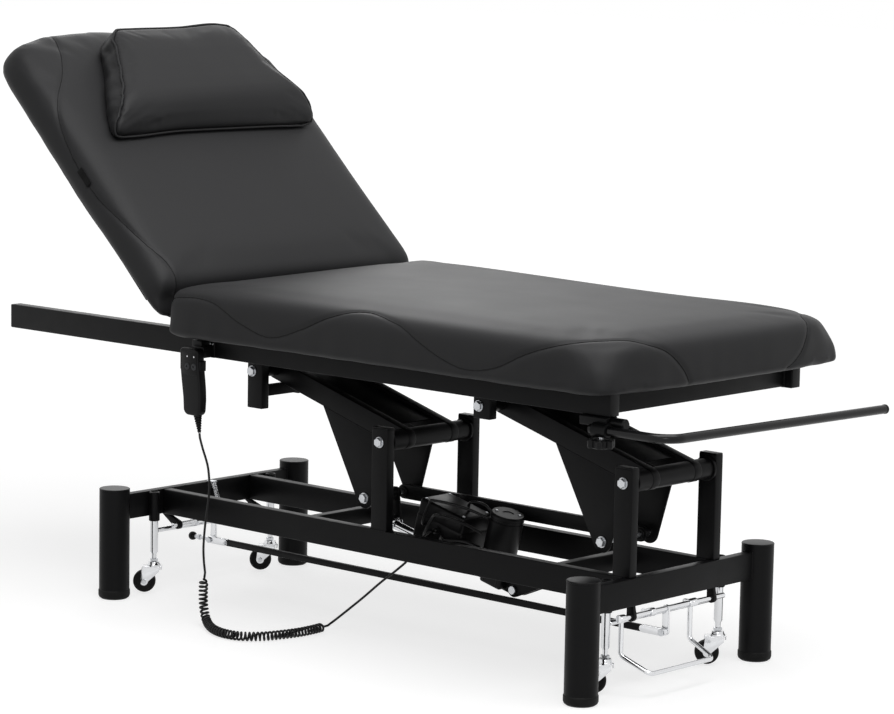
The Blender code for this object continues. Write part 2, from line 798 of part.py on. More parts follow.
def add_control_box(pivot):
    """The drive's control box, seated on the outer tube, with the gland of the handset's lead."""
    low = actuator_tube_radius + seat_gap
    half = control_box_width / 2
    body = block((-control_box_start - control_box_length, control_box_y - half, low),
                 (-control_box_start, control_box_y + half, low + control_box_height),
                 control_box_edge)
    gland_z = low + control_box_height * gland_share
    face = control_box_y - half
    add_part("control_box", black_plastic, pivot, body,
             [rod((-gland_along, face + weld_bite, gland_z), (-gland_along, face - gland_length, gland_z),
                  gland_radius, small_sides, cord_radius * 2)])


def add_top_frame(frame):
    """Two long rails with a beam between them at the foot end."""
    for side, sign in (("near", -1), ("far", 1)):
        faces = sorted((sign * top_inner_y, sign * top_rail_half_width))
        add_part(f"{side}_top_rail", black_paint, frame,
                 block((top_rail_head_x, faces[0], top_rail_bottom),
                       (top_rail_foot_x, faces[1], top_rail_top)))
    reach = top_inner_y - seat_gap
    beam_foot = top_rail_foot_x - foot_beam_setback
    add_part("foot_top_beam", black_paint, frame,
             block((beam_foot - top_rail_width, -reach, top_rail_bottom + top_tube_inset),
                   (beam_foot, reach, top_rail_top - top_tube_inset)))


def arm_bracket(pivot_x, tube_x, tube_height, stub_drop):
    """A cross tube with two stubs and the axle that an arm turns on: the body and what joins it."""
    reach = top_inner_y - seat_gap
    tube_low = top_rail_bottom + top_tube_inset
    body = block((tube_x[0], -reach, tube_low), (tube_x[1], reach, tube_low + tube_height))
    head_face = pivot_x - stub_lead
    joined = []
    for sign in (-1, 1):
        faces = sorted((sign * rail_inner_y, sign * base_half_width))
        joined.append(block((head_face, faces[0], upper_pivot_z - stub_drop),
                            (head_face + stub_width, faces[1], tube_low + weld_bite)))
        ends = sorted((sign * (base_half_width - weld_bite), sign * (base_half_width + hex_height)))
        joined.append(hex_head(pivot_x, upper_pivot_z, *ends))
    inner = rail_inner_y + weld_bite
    joined.append(cross_rod(pivot_x, upper_pivot_z, -inner, inner, bolt_radius))
    return body, joined


def add_frame_brackets(frame):
    """The brackets over the two arms; the head one carries the strut and the backrest's hinges."""
    head_pivot_x = head_post_x + upper_pivot_dx
    stub_foot_face = head_pivot_x - stub_lead + stub_width
    tube_x = (stub_foot_face - head_cross_tube_width, stub_foot_face)
    body, joined = arm_bracket(head_pivot_x, tube_x, head_cross_tube_height, head_stub_drop)
    plate_x = head_pivot_x - stub_lead + tie_plate_inset
    plate_low = upper_pivot_z - head_stub_drop + tie_plate_rise
    inner = rail_inner_y + weld_bite
    joined.append(block((plate_x, -inner, plate_low),
                        (plate_x + tie_plate_thickness, inner, plate_low + tie_plate_height)))
    ear_inner = strut_eye_width / 2 + turn_gap
    ear_outer = ear_inner + strut_ear_thickness
    strut_base = (strut_base_x, strut_base_z)
    for sign in (-1, 1):
        faces = sorted((sign * ear_inner, sign * ear_outer))
        joined.append(plate(round_bar((plate_x + tie_plate_thickness / 2, strut_base_z), strut_base,
                                      strut_eye_radius), *faces))
    joined.append(cross_rod(*strut_base, -ear_outer - weld_bite, ear_outer + weld_bite,
                            strut_pin_radius))
    tube_top = top_rail_bottom + top_tube_inset + head_cross_tube_height
    for sign in (-1, 1):
        faces = sorted((sign * hinge_y, sign * (hinge_y + hinge_ear_thickness)))
        joined.append(plate(round_bar((hinge_x, tube_top - weld_bite), (hinge_x, hinge_z),
                                      hinge_ear_round), *faces))
        pin = sorted((sign * hinge_y, sign * (hinge_y + 2 * hinge_ear_thickness + 2 * weld_bite)))
        joined.append(cross_rod(hinge_x, hinge_z, *pin, hinge_pin_radius))
    add_part("head_frame_bracket", black_paint, frame, body, joined)
    foot_pivot_x = foot_post_x + upper_pivot_dx
    head_face = foot_pivot_x - stub_lead
    body, joined = arm_bracket(foot_pivot_x, (head_face, head_face + stub_width),
                               head_cross_tube_height, foot_stub_drop)
    add_part("foot_frame_bracket", black_paint, frame, body, joined)


def loops(half, edge, corner, middle):
    """Where the cage of a cushion is divided along one side."""
    steps = [half - edge / 2, half - corner] + ([0] if middle else [])
    return sorted({place for step in steps for place in (step, -step)})


def cushion_cage(size, edge, corners, cuts):
    """A box divided into a cage, its plan corners and its edges rounded; centred on the origin.

    The corners have one radius at the low end of X and one at the high end.
    """
    half = Vector(size) / 2
    shape = bmesh.new()
    bmesh.ops.create_cube(shape, size=1)
    bmesh.ops.scale(shape, vec=size, verts=shape.verts)
    for axis, places in enumerate(cuts):
        normal = Vector((0, 0, 0))
        normal[axis] = 1
        for place in places:
            bmesh.ops.bisect_plane(shape, geom=shape.verts[:] + shape.edges[:] + shape.faces[:],
                                   plane_co=normal * place, plane_no=normal, dist=0.00001)
    for vert in shape.verts:
        x, y, z = vert.co
        inset = [max(abs(place) - (reach - edge), 0) for place, reach in zip((x, y, z), half)]
        side = max(inset[0], inset[1])
        rise = inset[2] * (1 if z > 0 else underside_share)
        if side > 0 and rise > 0:
            factor = max(side, rise) / hypot(side, rise)
            for axis in (0, 1):
                if inset[axis] > 0:
                    vert.co[axis] -= inset[axis] * (1 - factor) * (1 if vert.co[axis] > 0 else -1)
            vert.co.z -= rise * (1 - factor) * (1 if z > 0 else -1)
        x, y, z = vert.co
        corner = corners[0] if x < 0 else corners[1]
        out_x = abs(x) - (half.x - corner)
        out_y = abs(y) - (half.y - corner)
        if out_x > 0 and out_y > 0:
            factor = max(out_x, out_y) / hypot(out_x, out_y)
            vert.co.x -= out_x * (1 - factor) * (1 if x > 0 else -1)
            vert.co.y -= out_y * (1 - factor) * (1 if y > 0 else -1)
    return shape


def crown_and_draw(shape, half_x, half_y, half_z, end_draws):
    """Raise the middle of the top and draw the sides in between the corners.

    The two ends have a draw each, and a negative one bows the end outwards.
    """
    for vert in shape.verts:
        across_x = vert.co.x / half_x
        across_y = vert.co.y / half_y
        if vert.co.z > 0:
            swell = (1 - min(1, across_x ** 2)) * (1 - min(1, across_y ** 2))
            vert.co.z += pad_crown * swell * vert.co.z / half_z
        end_draw = end_draws[0] if across_x < 0 else end_draws[1]
        vert.co.x -= end_draw * across_x * abs(across_x) * (1 - min(1, across_y ** 2))
        vert.co.y -= pad_draw * across_y * abs(across_y) * (1 - min(1, across_x ** 2))


def add_soft(name, finish, parent, shape, place, cuts=()):
    """A cushion from its cage, smoothed once, with its board's recess cut out."""
    bmesh.ops.translate(shape, vec=place, verts=shape.verts)
    item = new_object(shape)
    smoothing = item.modifiers.new("soft form", "SUBSURF")
    smoothing.levels = 1
    smoothing.render_levels = 1
    add_part(name, finish, parent, item, cuts=cuts)


def add_pad(name, board_name, parent, x_range, bottom, corners, end_draws, board_parts=()):
    """A thick cushion with a board let into its underside."""
    length = x_range[1] - x_range[0]
    size = Vector((length, pad_width, pad_thickness))
    half_z = pad_thickness / 2
    corner = max(corners)
    cuts = [loops(length / 2, pad_edge, corner, True) + [length / 4, -length / 4],
            loops(pad_width / 2, pad_edge, corner, True), [-half_z / 2, half_z / 2]]
    shape = cushion_cage(size, pad_edge, corners, cuts)
    crown_and_draw(shape, length / 2, pad_width / 2, half_z, end_draws)
    inset_y = pad_width / 2 - board_inset
    low = (x_range[0] + board_inset, -inset_y, bottom)
    high = (x_range[1] - board_inset, inset_y, bottom + board_thickness)
    recess = block((low[0] - board_play, low[1] - board_play, bottom - overrun),
                   (high[0] + board_play, high[1] + board_play, high[2] + board_play))
    place = ((x_range[0] + x_range[1]) / 2, 0, bottom + half_z)
    add_soft(name, leather, parent, shape, place, [recess])
    add_part(board_name, board_wood, parent, block(low, high), board_parts)


def backrest_fittings():
    """The hinge ears and the strut's lug, welded to the backrest's board."""
    low = -pad_below_hinge
    arm_top = low - seat_gap
    arm_low = arm_top - hinge_arm_thickness
    joined = []
    for sign in (-1, 1):
        start = hinge_y + hinge_ear_thickness + turn_gap
        faces = sorted((sign * start, sign * (start + hinge_ear_thickness)))
        outline = (arc((0, 0), hinge_ear_round, pi, 0, corner_steps * 2)
                   + [(hinge_ear_round, arm_low), (-hinge_arm_length, arm_low),
                      (-hinge_arm_length, low + hinge_seat_rise),
                      (-hinge_arm_length + hinge_seat_length, low + hinge_seat_rise),
                      (-hinge_arm_length + hinge_seat_length, arm_top), (-hinge_ear_round, arm_top)])
        joined.append(plate(outline, *faces))
        ear_inner = strut_eye_width / 2 + turn_gap
        lug = sorted((sign * ear_inner, sign * (ear_inner + strut_ear_thickness)))
        joined.append(plate(round_bar((-strut_lug_along, low), (-strut_lug_along, -strut_lug_drop),
                                      strut_eye_radius), *lug))
    return joined


def add_cushions(frame, backrest):
    """The bed on the frame, and the backrest on its hinge, each with its board."""
    add_pad("bed_cushion", "bed_board", frame, (bed_head_x, bed_head_x + bed_length), pad_bottom,
            (pad_fold_corner, bed_foot_corner), (pad_draw, pad_draw))
    add_pad("backrest_cushion", "backrest_board", backrest, (-fold_gap - back_length, -fold_gap),
            -pad_below_hinge, (back_top_corner, pad_fold_corner), (-back_top_bow, pad_draw),
            backrest_fittings())
    board = bpy.data.objects["backrest_board"]
    for sign in (-1, 1):
        start = hinge_y + hinge_ear_thickness
        span = sorted((sign * start, sign * (start + 2 * hinge_ear_thickness)))
        hole = cross_drill(0, 0, *span, hinge_pin_radius + turn_gap)
        hole.name = "backrest_board.hinge_hole"
        hole.parent = backrest
        hole.hide_render = True
        hole.display_type = "WIRE"
        cutters.objects.link(hole)
        step = board.modifiers.new("hinge hole", "BOOLEAN")
        step.operation = "DIFFERENCE"
        step.object = hole


def add_pillow(backrest):
    """The pillow on the backrest: wide at its lower edge, narrow and a little thinner above."""
    size = Vector((pillow_height, pillow_low_width, pillow_thickness))
    bends = [(0.5 - share) * size.x for share in pillow_place_shares[1:-1]]
    cuts = [loops(size.x / 2, pillow_edge, pillow_corner, False) + bends,
            loops(size.y / 2, pillow_edge, pillow_corner, True), [-size.z / 4, size.z / 4]]
    shape = cushion_cage(size, pillow_edge, (pillow_corner, pillow_corner), cuts)
    narrow = pillow_top_width / pillow_low_width
    for vert in shape.verts:
        upward = 0.5 - vert.co.x / size.x
        vert.co.y *= 1 + (narrow - 1) * upward
        height = (vert.co.z + size.z / 2) / size.z
        slope = numpy.interp(upward, pillow_place_shares, pillow_thickness_shares)
        across = abs(vert.co.y) / (size.y / 2)
        vert.co.z = -size.z / 2 + size.z * height * slope * (1 - pillow_side_share * across ** 2)
    surface = pad_edge + pad_crown - pillow_settle + seat_gap
    place = (-pillow_along - size.x / 2, pillow_shift, surface + size.z / 2)
    add_soft("pillow", leather, backrest, shape, place)


def add_strut(pivot, slide):
    """The gas strut under the backrest: its tube turns on the bracket, its rod slides out."""
    half = strut_eye_width / 2
    neck_end = strut_eye_radius + strut_neck_length
    add_part("strut_tube", black_paint, pivot,
             rod((-neck_end, 0, 0), (-strut_tube_length, 0, 0), strut_tube_radius, medium_sides),
             [cross_rod(0, 0, -half, half, strut_eye_radius, medium_sides),
              rod((-strut_eye_radius / 2, 0, 0), (-neck_end - weld_bite, 0, 0), strut_neck_radius)],
             [cross_drill(0, 0, -strut_tube_radius - overrun, strut_tube_radius + overrun,
                          strut_pin_radius + turn_gap),
              drill((-strut_bore_start, 0, 0), (-strut_tube_length - overrun, 0, 0),
                    strut_rod_radius + turn_gap)])
    add_part("strut_rod", chrome, slide,
             rod((-strut_rod_start, 0, 0), (-strut_reach, 0, 0), strut_rod_radius),
             [cross_rod(-strut_reach, 0, -half, half, strut_rod_eye_radius, medium_sides)])


def add_caster(end, side, x, y, leg, fork, wheel):
    """A caster: the leg slides in its sleeve, the fork swivels on the leg, the wheel rolls in it."""
    top = base_top - caster_sleeve_drop
    profile = [(0, top), (caster_tube_radius, top), (caster_tube_radius, caster_neck_z),
               (caster_neck_radius, caster_neck_z - caster_neck_radius),
               (caster_neck_radius, fork_top_z + seat_gap), (0, fork_top_z + seat_gap)]
    add_part(f"caster_leg_{end}_{side}", chrome, leg, turned(profile, (x, y, 0), medium_sides))
    inner = wheel_width / 2 + turn_gap
    outer = inner + fork_cheek_thickness
    hub_low = fork_top_z - fork_hub_height
    plate_low = hub_low - fork_plate_thickness
    body = rod((0, 0, hub_low - weld_bite), (0, 0, fork_top_z), fork_hub_radius, medium_sides)
    axle = (-fork_trail, wheel_z)
    cheek_top = hub_low - fork_plate_thickness / 2
    cheek = ([(fork_hub_radius, cheek_top), (-fork_trail - fork_boss_radius / 2, cheek_top)]
             + arc(axle, fork_boss_radius, pi, 2 * pi, corner_steps)
             + [(fork_hub_radius, plate_low - weld_bite)])
    quarter = Matrix.Rotation(pi / 2, 4, "Z")
    plate_half = outer + fork_plate_lip
    plate_back = -fork_trail - fork_boss_radius / 2 - fork_plate_lip
    tab_low = plate_low + fork_plate_lip
    joined = [block((-plate_half, plate_back, plate_low),
                    (plate_half, fork_hub_radius + fork_plate_lip, hub_low)),
              block((-brake_tab_width / 2, 0, tab_low),
                    (brake_tab_width / 2, fork_hub_radius + brake_tab_length,
                     tab_low + fork_cheek_thickness)),
              rod((-outer, -fork_trail, wheel_z), (outer, -fork_trail, wheel_z), wheel_axle_radius)]
    for sign in (-1, 1):
        faces = sorted((sign * inner, sign * outer))
        shape = plate(cheek, -faces[1], -faces[0])
        shape.data.transform(quarter)
        joined.append(shape)
    add_part(f"caster_fork_{end}_{side}", chrome, fork, body, joined)
    half = wheel_width / 2
    bore = wheel_axle_radius / cos(pi / small_sides) + turn_gap
    rim = [(bore, half), (wheel_radius - wheel_edge, half), (wheel_radius, half - wheel_edge)]
    profile = rim + [(radius, -height) for radius, height in reversed(rim)] + [rim[0]]
    add_part(f"caster_wheel_{end}_{side}", black_rubber, wheel,
             turned(profile, (0, 0, 0), medium_sides, "X"))


def add_shafts(pedal, head):
    """The pedal shaft with its bail, cams and crank, and the shaft that follows it at the head."""
    for name, parent, half in (("pedal_shaft", pedal, pedal_shaft_half),
                               ("head_caster_shaft", head, head_shaft_half)):
        body = cross_rod(0, 0, -half, half, shaft_radius)
        joined = []
        for sign in (-1, 1):
            y = sign * cam_y
            joined.append(block((-cam_reach, y - cam_thickness / 2, -cam_height / 2),
                                (0, y + cam_thickness / 2, cam_height / 2)))
        joined.append(plate(round_bar((0, 0), (0, -crank_drop), crank_width / 2),
                            crank_y + turn_gap, crank_y + turn_gap + crank_thickness))
        joined.append(cross_rod(0, -crank_drop, crank_y - link_rod_width - 2 * turn_gap,
                                crank_y + turn_gap + weld_bite, shaft_radius - weld_bite))
        if name == "pedal_shaft":
            corners = [(0, bail_near_y, 0), (0, bail_near_y, bail_knee_z - shaft_z),
                       (bail_out, bail_near_low_y, bail_low_z - shaft_z),
                       (bail_out, bail_far_low_y, bail_low_z - shaft_z),
                       (0, bail_far_y, bail_knee_z - shaft_z), (0, bail_far_y, 0)]
            joined.append(tube(rounded_path(corners, bail_bend), bail_radius))
        add_part(name, chrome, parent, body, joined)


def add_link_rod(pivot):
    """The flat rod under the table that makes the head casters follow the pedal."""
    faces = (crank_y - link_rod_width, crank_y)
    bore = shaft_radius - weld_bite + turn_gap
    cuts = [cross_drill(x, 0, faces[0] - overrun, faces[1] + overrun, bore)
            for x in (-link_rod_span, 0)]
    add_part("caster_link_rod", black_paint, pivot,
             plate(round_bar((-link_rod_span, 0), (0, 0), link_rod_height / 2), *faces), cuts=cuts)


def add_caster_bar(name, parent, x):
    """The bar between two caster legs that the cams press down."""
    reach = caster_y - caster_tube_radius - seat_gap
    add_part(name, chrome, parent, cross_rod(x, caster_bar_z, -reach, reach, caster_bar_radius))


def add_roll_bar(frame, slide, turn):
    """The clamp under the near rail, the bent bar that slides in it, and the clamp's lobed knob."""
    clamp_end = clamp_start_x + clamp_length
    block_end = clamp_block_start_x + clamp_block_length
    clamp_radius = roll_bar_radius + turn_gap + clamp_wall
    peg_z = top_rail_bottom - seat_gap - peg_radius
    body = block((clamp_block_start_x, roll_bar_y, roll_bar_z),
                 (block_end, -top_inner_y, top_rail_bottom - seat_gap))
    joined = [rod((clamp_start_x, roll_bar_y, roll_bar_z), (clamp_end, roll_bar_y, roll_bar_z),
                  clamp_radius, medium_sides),
              rod((block_end - weld_bite, peg_y, peg_z), (peg_end_x - peg_edge, peg_y, peg_z),
                  peg_radius, medium_sides),
              rod((peg_end_x - peg_edge - weld_bite, peg_y, peg_z), (peg_end_x, peg_y, peg_z),
                  peg_radius, medium_sides, peg_radius - peg_edge)]
    cuts = [rod((clamp_block_start_x - overrun, roll_bar_y, roll_bar_z),
                (max(block_end, clamp_end) + overrun, roll_bar_y, roll_bar_z),
                roll_bar_radius + turn_gap, medium_sides),
            drill((knob_x, roll_bar_y, roll_bar_z),
                  (knob_x, roll_bar_y, roll_bar_z - clamp_radius - overrun),
                  stud_radius + turn_gap)]
    add_part("roll_bar_clamp", black_paint, frame, body, joined, cuts)
    corners = [(roll_bar_start_x, roll_bar_y, roll_bar_z), (roll_bar_end_x, roll_bar_y, roll_bar_z),
               (roll_bar_end_x, roll_bar_end_y, roll_bar_z - roll_bar_droop)]
    add_part("roll_bar", black_paint, slide,
             tube(rounded_path(corners, roll_bar_bend, corner_steps * 2), roll_bar_radius, 4))
    stud_top = -roll_bar_radius - seat_gap
    knob_low = -knob_drop - knob_thickness
    body = rod((0, 0, knob_low), (0, 0, -knob_drop), knob_radius, medium_sides)
    joined = [rod((0, 0, -knob_drop - weld_bite), (0, 0, stud_top), stud_radius)]
    for lobe in range(knob_lobes):
        angle = 2 * pi * lobe / knob_lobes
        x = knob_radius * cos(angle)
        y = knob_radius * sin(angle)
        joined.append(rod((x, y, knob_low + weld_bite), (x, y, -knob_drop - weld_bite),
                          knob_lobe_radius, small_sides))
    add_part("roll_bar_knob", black_plastic, turn, body, joined)


def add_handset(frame, up, down):
    """The clip on the rail, the handset that hangs on it, and its two buttons."""
    clip_back = rail_outer_near - seat_gap
    add_part("handset_clip", black_plastic, frame,
             block((handset_x - clip_width / 2, clip_back - clip_depth, clip_top_z - clip_height),
                   (handset_x + clip_width / 2, clip_back, clip_top_z)))
    half = handset_width / 2
    waist = handset_waist / 2
    low_z = handset_top_z - handset_length
    outline = (arc((handset_x + half - handset_edge, handset_top_z - handset_edge), handset_edge,
                   0, pi / 2)
               + arc((handset_x - half + handset_edge, handset_top_z - handset_edge), handset_edge,
                     pi / 2, pi)
               + arc((handset_x - waist + handset_edge * 2, low_z + handset_edge * 2),
                     handset_edge * 2, pi, 3 * pi / 2)
               + arc((handset_x + waist - handset_edge * 2, low_z + handset_edge * 2),
                     handset_edge * 2, 3 * pi / 2, 2 * pi))
    front = handset_back_y - handset_thickness
    body = plate(outline, front, handset_back_y)
    collar_low = low_z - collar_length
    collar_x = handset_x + collar_shift
    joined = [rod((collar_x, handset_y, low_z + weld_bite), (collar_x, handset_y, collar_low),
                  collar_radius, small_sides, collar_end_radius)]
    cuts = []
    for name, parent, sign in (("handset_up_button", up, -1), ("handset_down_button", down, 1)):
        x = handset_x + sign * button_spread
        z = handset_top_z - button_drop
        cuts.append(cross_rod(x, z, front - overrun, front + button_pocket,
                              button_radius + turn_gap, medium_sides))
        add_part(name, black_plastic, parent,
                 cross_rod(0, 0, -button_proud, button_length, button_radius, medium_sides))
    add_part("handset", black_plastic, frame, body, joined, cuts)


def add_cord_drop(frame, curl):
    """The plain cord from the handset's collar to the curly stretch."""
    collar_low = handset_top_z - handset_length - collar_length
    start = Vector((handset_x + collar_shift, handset_y, collar_low - seat_gap))
    below = start - Vector((0, 0, cord_run))
    heading = (curl[1] - curl[0]).normalized()
    end = curl[0] - heading * seat_gap
    points = smooth_route([below] + drop_route + [end - heading * cord_run], 6 * cord_radius)
    item = bpy.data.objects.new(
        "cord", tube_curve([start] + points + [end], cord_radius, plain_sides_resolution))
    add_part("handset_cord_drop", black_cord, frame, item)


def curl_points_along(route):
    """The wire of the curly cord: a helix about a smooth axis, with straight ends on the axis."""
    axis = smooth_route(route, curl_radius)
    reach = [0.0]
    for start, end in zip(axis, axis[1:]):
        reach.append(reach[-1] + (end - start).length)
    run = 2 * cord_radius
    length = reach[-1] - 2 * run
    tangents = [(after - before).normalized() for before, after in
                zip([axis[0]] + axis[:-1], axis[1:] + [axis[-1]])]
    side = tangents[0].orthogonal().normalized()
    sides = []
    for tangent in tangents:
        side = (side - tangent * side.dot(tangent)).normalized()
        sides.append(side.copy())
    points = [axis[0].copy()]
    total = curl_count * curl_points
    for step in range(total + 1):
        along = run + length * step / total
        place = [numpy.interp(along, reach, [point[k] for point in axis]) for k in range(3)]
        tangent = Vector([numpy.interp(along, reach, [t[k] for t in tangents]) for k in range(3)])
        across = Vector([numpy.interp(along, reach, [s[k] for s in sides]) for k in range(3)])
        tangent.normalize()
        across = (across - tangent * across.dot(tangent)).normalized()
        turns = step / curl_points
        ramp = min(1.0, turns / curl_ramp_share, (curl_count - turns) / curl_ramp_share)
        angle = 2 * pi * turns
        spoke = across * cos(angle) + tangent.cross(across) * sin(angle)
        points.append(Vector(place) + spoke * curl_radius * ramp)
    points.append(axis[-1].copy())
    return points


def print_self_gap(points):
    """Print the least gap between the wire's surfaces, on points at least half a curl apart."""
    places = numpy.array([point[:] for point in points])
    apart = curl_points // 2 + 1
    least = min(numpy.min(numpy.linalg.norm(places[index + apart:] - places[index], axis=1))
                for index in range(len(places) - apart))
    print(f"curly cord: least gap to itself {(least - 2 * cord_radius) * 1000:.2f} mm")


def add_cord_curl(root, curl):
    """The curly stretch of the cord, down to the floor and along it."""
    print_self_gap(curl)
    item = bpy.data.objects.new("cord", tube_curve(curl, cord_radius, curl_sides_resolution))
    add_part("handset_cord_curl", black_cord, root, item)


def add_cord_lead(root, curl):
    """The plain cord from the curly stretch up to the gland on the control box."""
    turn = Matrix.Rotation(actuator_rest_angle, 4, "Y")
    gland = Vector((-gland_along, control_box_y - control_box_width / 2 - gland_length - seat_gap,
                    actuator_tube_radius + seat_gap + control_box_height * gland_share))
    end = turn @ gland + Vector((actuator_pivot_x, 0, actuator_pivot_z))
    before = end - Vector((0, cord_run, 0))
    heading = (curl[-1] - curl[-2]).normalized()
    start = curl[-1] + heading * seat_gap
    points = smooth_route([start + heading * cord_run] + lead_route + [before], 6 * cord_radius)
    item = bpy.data.objects.new(
        "cord", tube_curve([start] + points + [end], cord_radius, plain_sides_resolution))
    add_part("handset_cord_lead", black_cord, root, item)


# Directions and lengths of the drive and the strut at rest
lever_world = Matrix.Rotation(arm_rest_angle, 4, "Y") @ Vector((-lever_along, 0, -lever_drop))
drive_world = Matrix.Rotation(arm_rest_angle, 4, "Y") @ Vector((-drive_along, 0, -drive_drop))
drive_x = head_post_x + drive_world.x
drive_z = post_pivot_z + drive_world.z
drive_reach = hypot(actuator_pivot_x - drive_x, drive_z - actuator_pivot_z)
actuator_rest_angle = atan2(drive_z - actuator_pivot_z, actuator_pivot_x - drive_x)
strut_base_z = upper_pivot_z - strut_base_z_drop
strut_top_x = (hinge_x - strut_lug_along * cos(back_rest_angle)
               - strut_lug_drop * sin(back_rest_angle))
strut_top_z = (hinge_z + strut_lug_along * sin(back_rest_angle)
               - strut_lug_drop * cos(back_rest_angle))
strut_reach = hypot(strut_base_x - strut_top_x, strut_top_z - strut_base_z)
strut_rest_angle = atan2(strut_top_z - strut_base_z, strut_base_x - strut_top_x)

clear_scene()
parts = new_collection("electric_massage_table")
cutters = new_collection("cutters")
black_paint = new_material("black_powder_coat", (34, 34, 35), 0.42, 0.0)
leather = new_material("black_imitation_leather", (44, 44, 45), 0.45, 0.0)
board_wood = new_material("black_stained_board", (40, 38, 36), 0.70, 0.0)
black_plastic = new_material("black_plastic", (30, 30, 31), 0.40, 0.0)
black_rubber = new_material("black_rubber", (36, 36, 37), 0.60, 0.0)
black_cord = new_material("black_cord_jacket", (26, 26, 27), 0.45, 0.0)
chrome = new_material("chrome", (214, 216, 218), 0.12, 1.0)
zinc = new_material("zinc_plated_steel", (190, 192, 194), 0.30, 1.0)

root = new_empty("table_origin", (origin_shift, 0, 0))
add_legs(root)
add_end_beam("head_end_beam", -leg_x, -1, head_shaft_x, root)
add_end_beam("foot_end_beam", leg_x, 1, leg_x, root)
add_base_rails(root)
add_cross_members(root)
through_bolt("head_post_bolt", root, head_post_x, post_pivot_z, base_half_width)
through_bolt("foot_post_bolt", root, foot_post_x, post_pivot_z, base_half_width)

head_arm = new_empty("head_arm_axis", (head_post_x, 0, post_pivot_z), root, arm_rest_angle)
foot_arm = new_empty("foot_arm_axis", (foot_post_x, 0, post_pivot_z), root, arm_rest_angle)
add_arm("head_lift_arm", head_arm, "head_lever_bolt", True)
add_arm("foot_lift_arm", foot_arm, "foot_lever_bolt", False)
link = new_empty("link_bar_axis", (head_post_x + lever_world.x, 0, post_pivot_z + lever_world.z), root)
add_link_bar(link)

drive = new_empty("actuator_axis", (actuator_pivot_x, 0, actuator_pivot_z), root,
                  actuator_rest_angle)
add_actuator(drive, drive)
add_control_box(drive)

add_top_frame(root)
add_frame_brackets(root)
back = new_empty("backrest_axis", (hinge_x, 0, hinge_z), root, back_rest_angle)
add_cushions(root, back)
add_pillow(back)
strut = new_empty("strut_axis", (strut_base_x, 0, strut_base_z), root, strut_rest_angle)
add_strut(strut, strut)

for end, sign in (("head", -1), ("foot", 1)):
    for side, y in (("near", -caster_y), ("far", caster_y)):
        x = sign * caster_x
        swivel = new_empty(f"swivel_axis_{end}_{side}", (x, y, 0), root, heading=fork_rest_turn)
        axle_place = (x + fork_trail * sin(fork_rest_turn), y - fork_trail * cos(fork_rest_turn),
                      wheel_z)
        axle = new_empty(f"wheel_axis_{end}_{side}", axle_place, root, heading=fork_rest_turn)
        add_caster(end, side, x, y, root, swivel, axle)
    add_caster_bar(f"{end}_caster_bar", root, sign * caster_x)
pedal = new_empty("pedal_axis", (leg_x, 0, shaft_z), root)
head_shaft = new_empty("head_shaft_axis", (head_shaft_x, 0, shaft_z), root)
add_shafts(pedal, head_shaft)
crank = new_empty("crank_axis", (leg_x, 0, crank_pin_z), root)
add_link_rod(crank)

knob = new_empty("knob_axis", (knob_x, roll_bar_y, roll_bar_z), root)
add_roll_bar(root, root, knob)
button_z = handset_top_z - button_drop
front_y = handset_back_y - handset_thickness
up_axis = new_empty("up_button_axis", (handset_x - button_spread, front_y, button_z), root)
down_axis = new_empty("down_button_axis", (handset_x + button_spread, front_y, button_z), root)
add_handset(root, up_axis, down_axis)
curl = curl_points_along(curl_route)
add_cord_drop(root, curl)
add_cord_curl(root, curl)
add_cord_lead(root, curl)

bpy.context.view_layer.update()
for item in bpy.data.objects:
    if item.type == "EMPTY":
        place = item.matrix_world.translation
        print(f"{item.name}: {place.x:.5f} {place.y:.5f} {place.z:.5f}")
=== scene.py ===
"""The looks of an electric massage table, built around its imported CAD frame.

Lengths are metres. X runs to the foot end, Y to the far side and Z up. The sizes repeat those of the
CAD model and are written from the middle of the base; finish_piece moves each piece from there to the
frame's own origin.
"""
from math import atan2, ceil, cos, hypot, pi, radians, sin, tan

import bpy
from mathutils import Matrix, Vector, noise
from mathutils.bvhtree import BVHTree
from mathutils.kdtree import KDTree


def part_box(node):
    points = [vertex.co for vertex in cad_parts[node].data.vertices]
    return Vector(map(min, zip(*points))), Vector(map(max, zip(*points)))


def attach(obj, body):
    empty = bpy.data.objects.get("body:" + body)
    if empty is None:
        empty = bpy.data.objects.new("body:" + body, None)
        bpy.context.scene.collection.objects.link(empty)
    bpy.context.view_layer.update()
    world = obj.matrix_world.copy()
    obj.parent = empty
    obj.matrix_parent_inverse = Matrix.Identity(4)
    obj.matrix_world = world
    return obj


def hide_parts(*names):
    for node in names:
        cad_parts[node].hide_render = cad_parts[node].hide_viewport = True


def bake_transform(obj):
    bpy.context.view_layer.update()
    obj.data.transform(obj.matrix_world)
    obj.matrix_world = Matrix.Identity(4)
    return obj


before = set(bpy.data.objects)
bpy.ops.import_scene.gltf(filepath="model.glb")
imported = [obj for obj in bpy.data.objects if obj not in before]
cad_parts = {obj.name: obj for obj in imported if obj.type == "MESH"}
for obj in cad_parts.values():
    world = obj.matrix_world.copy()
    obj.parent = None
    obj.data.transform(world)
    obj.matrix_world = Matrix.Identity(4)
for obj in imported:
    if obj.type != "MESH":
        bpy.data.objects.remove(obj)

bl_info = {
    "name": "Electric massage table",
    "version": (1, 0, 0),
    "blender": (4, 5, 0),
    "location": "View3D > Sidebar > Massage table",
    "description": "Builds the pieces of an electric massage table around its CAD frame",
    "category": "Add Mesh",
}

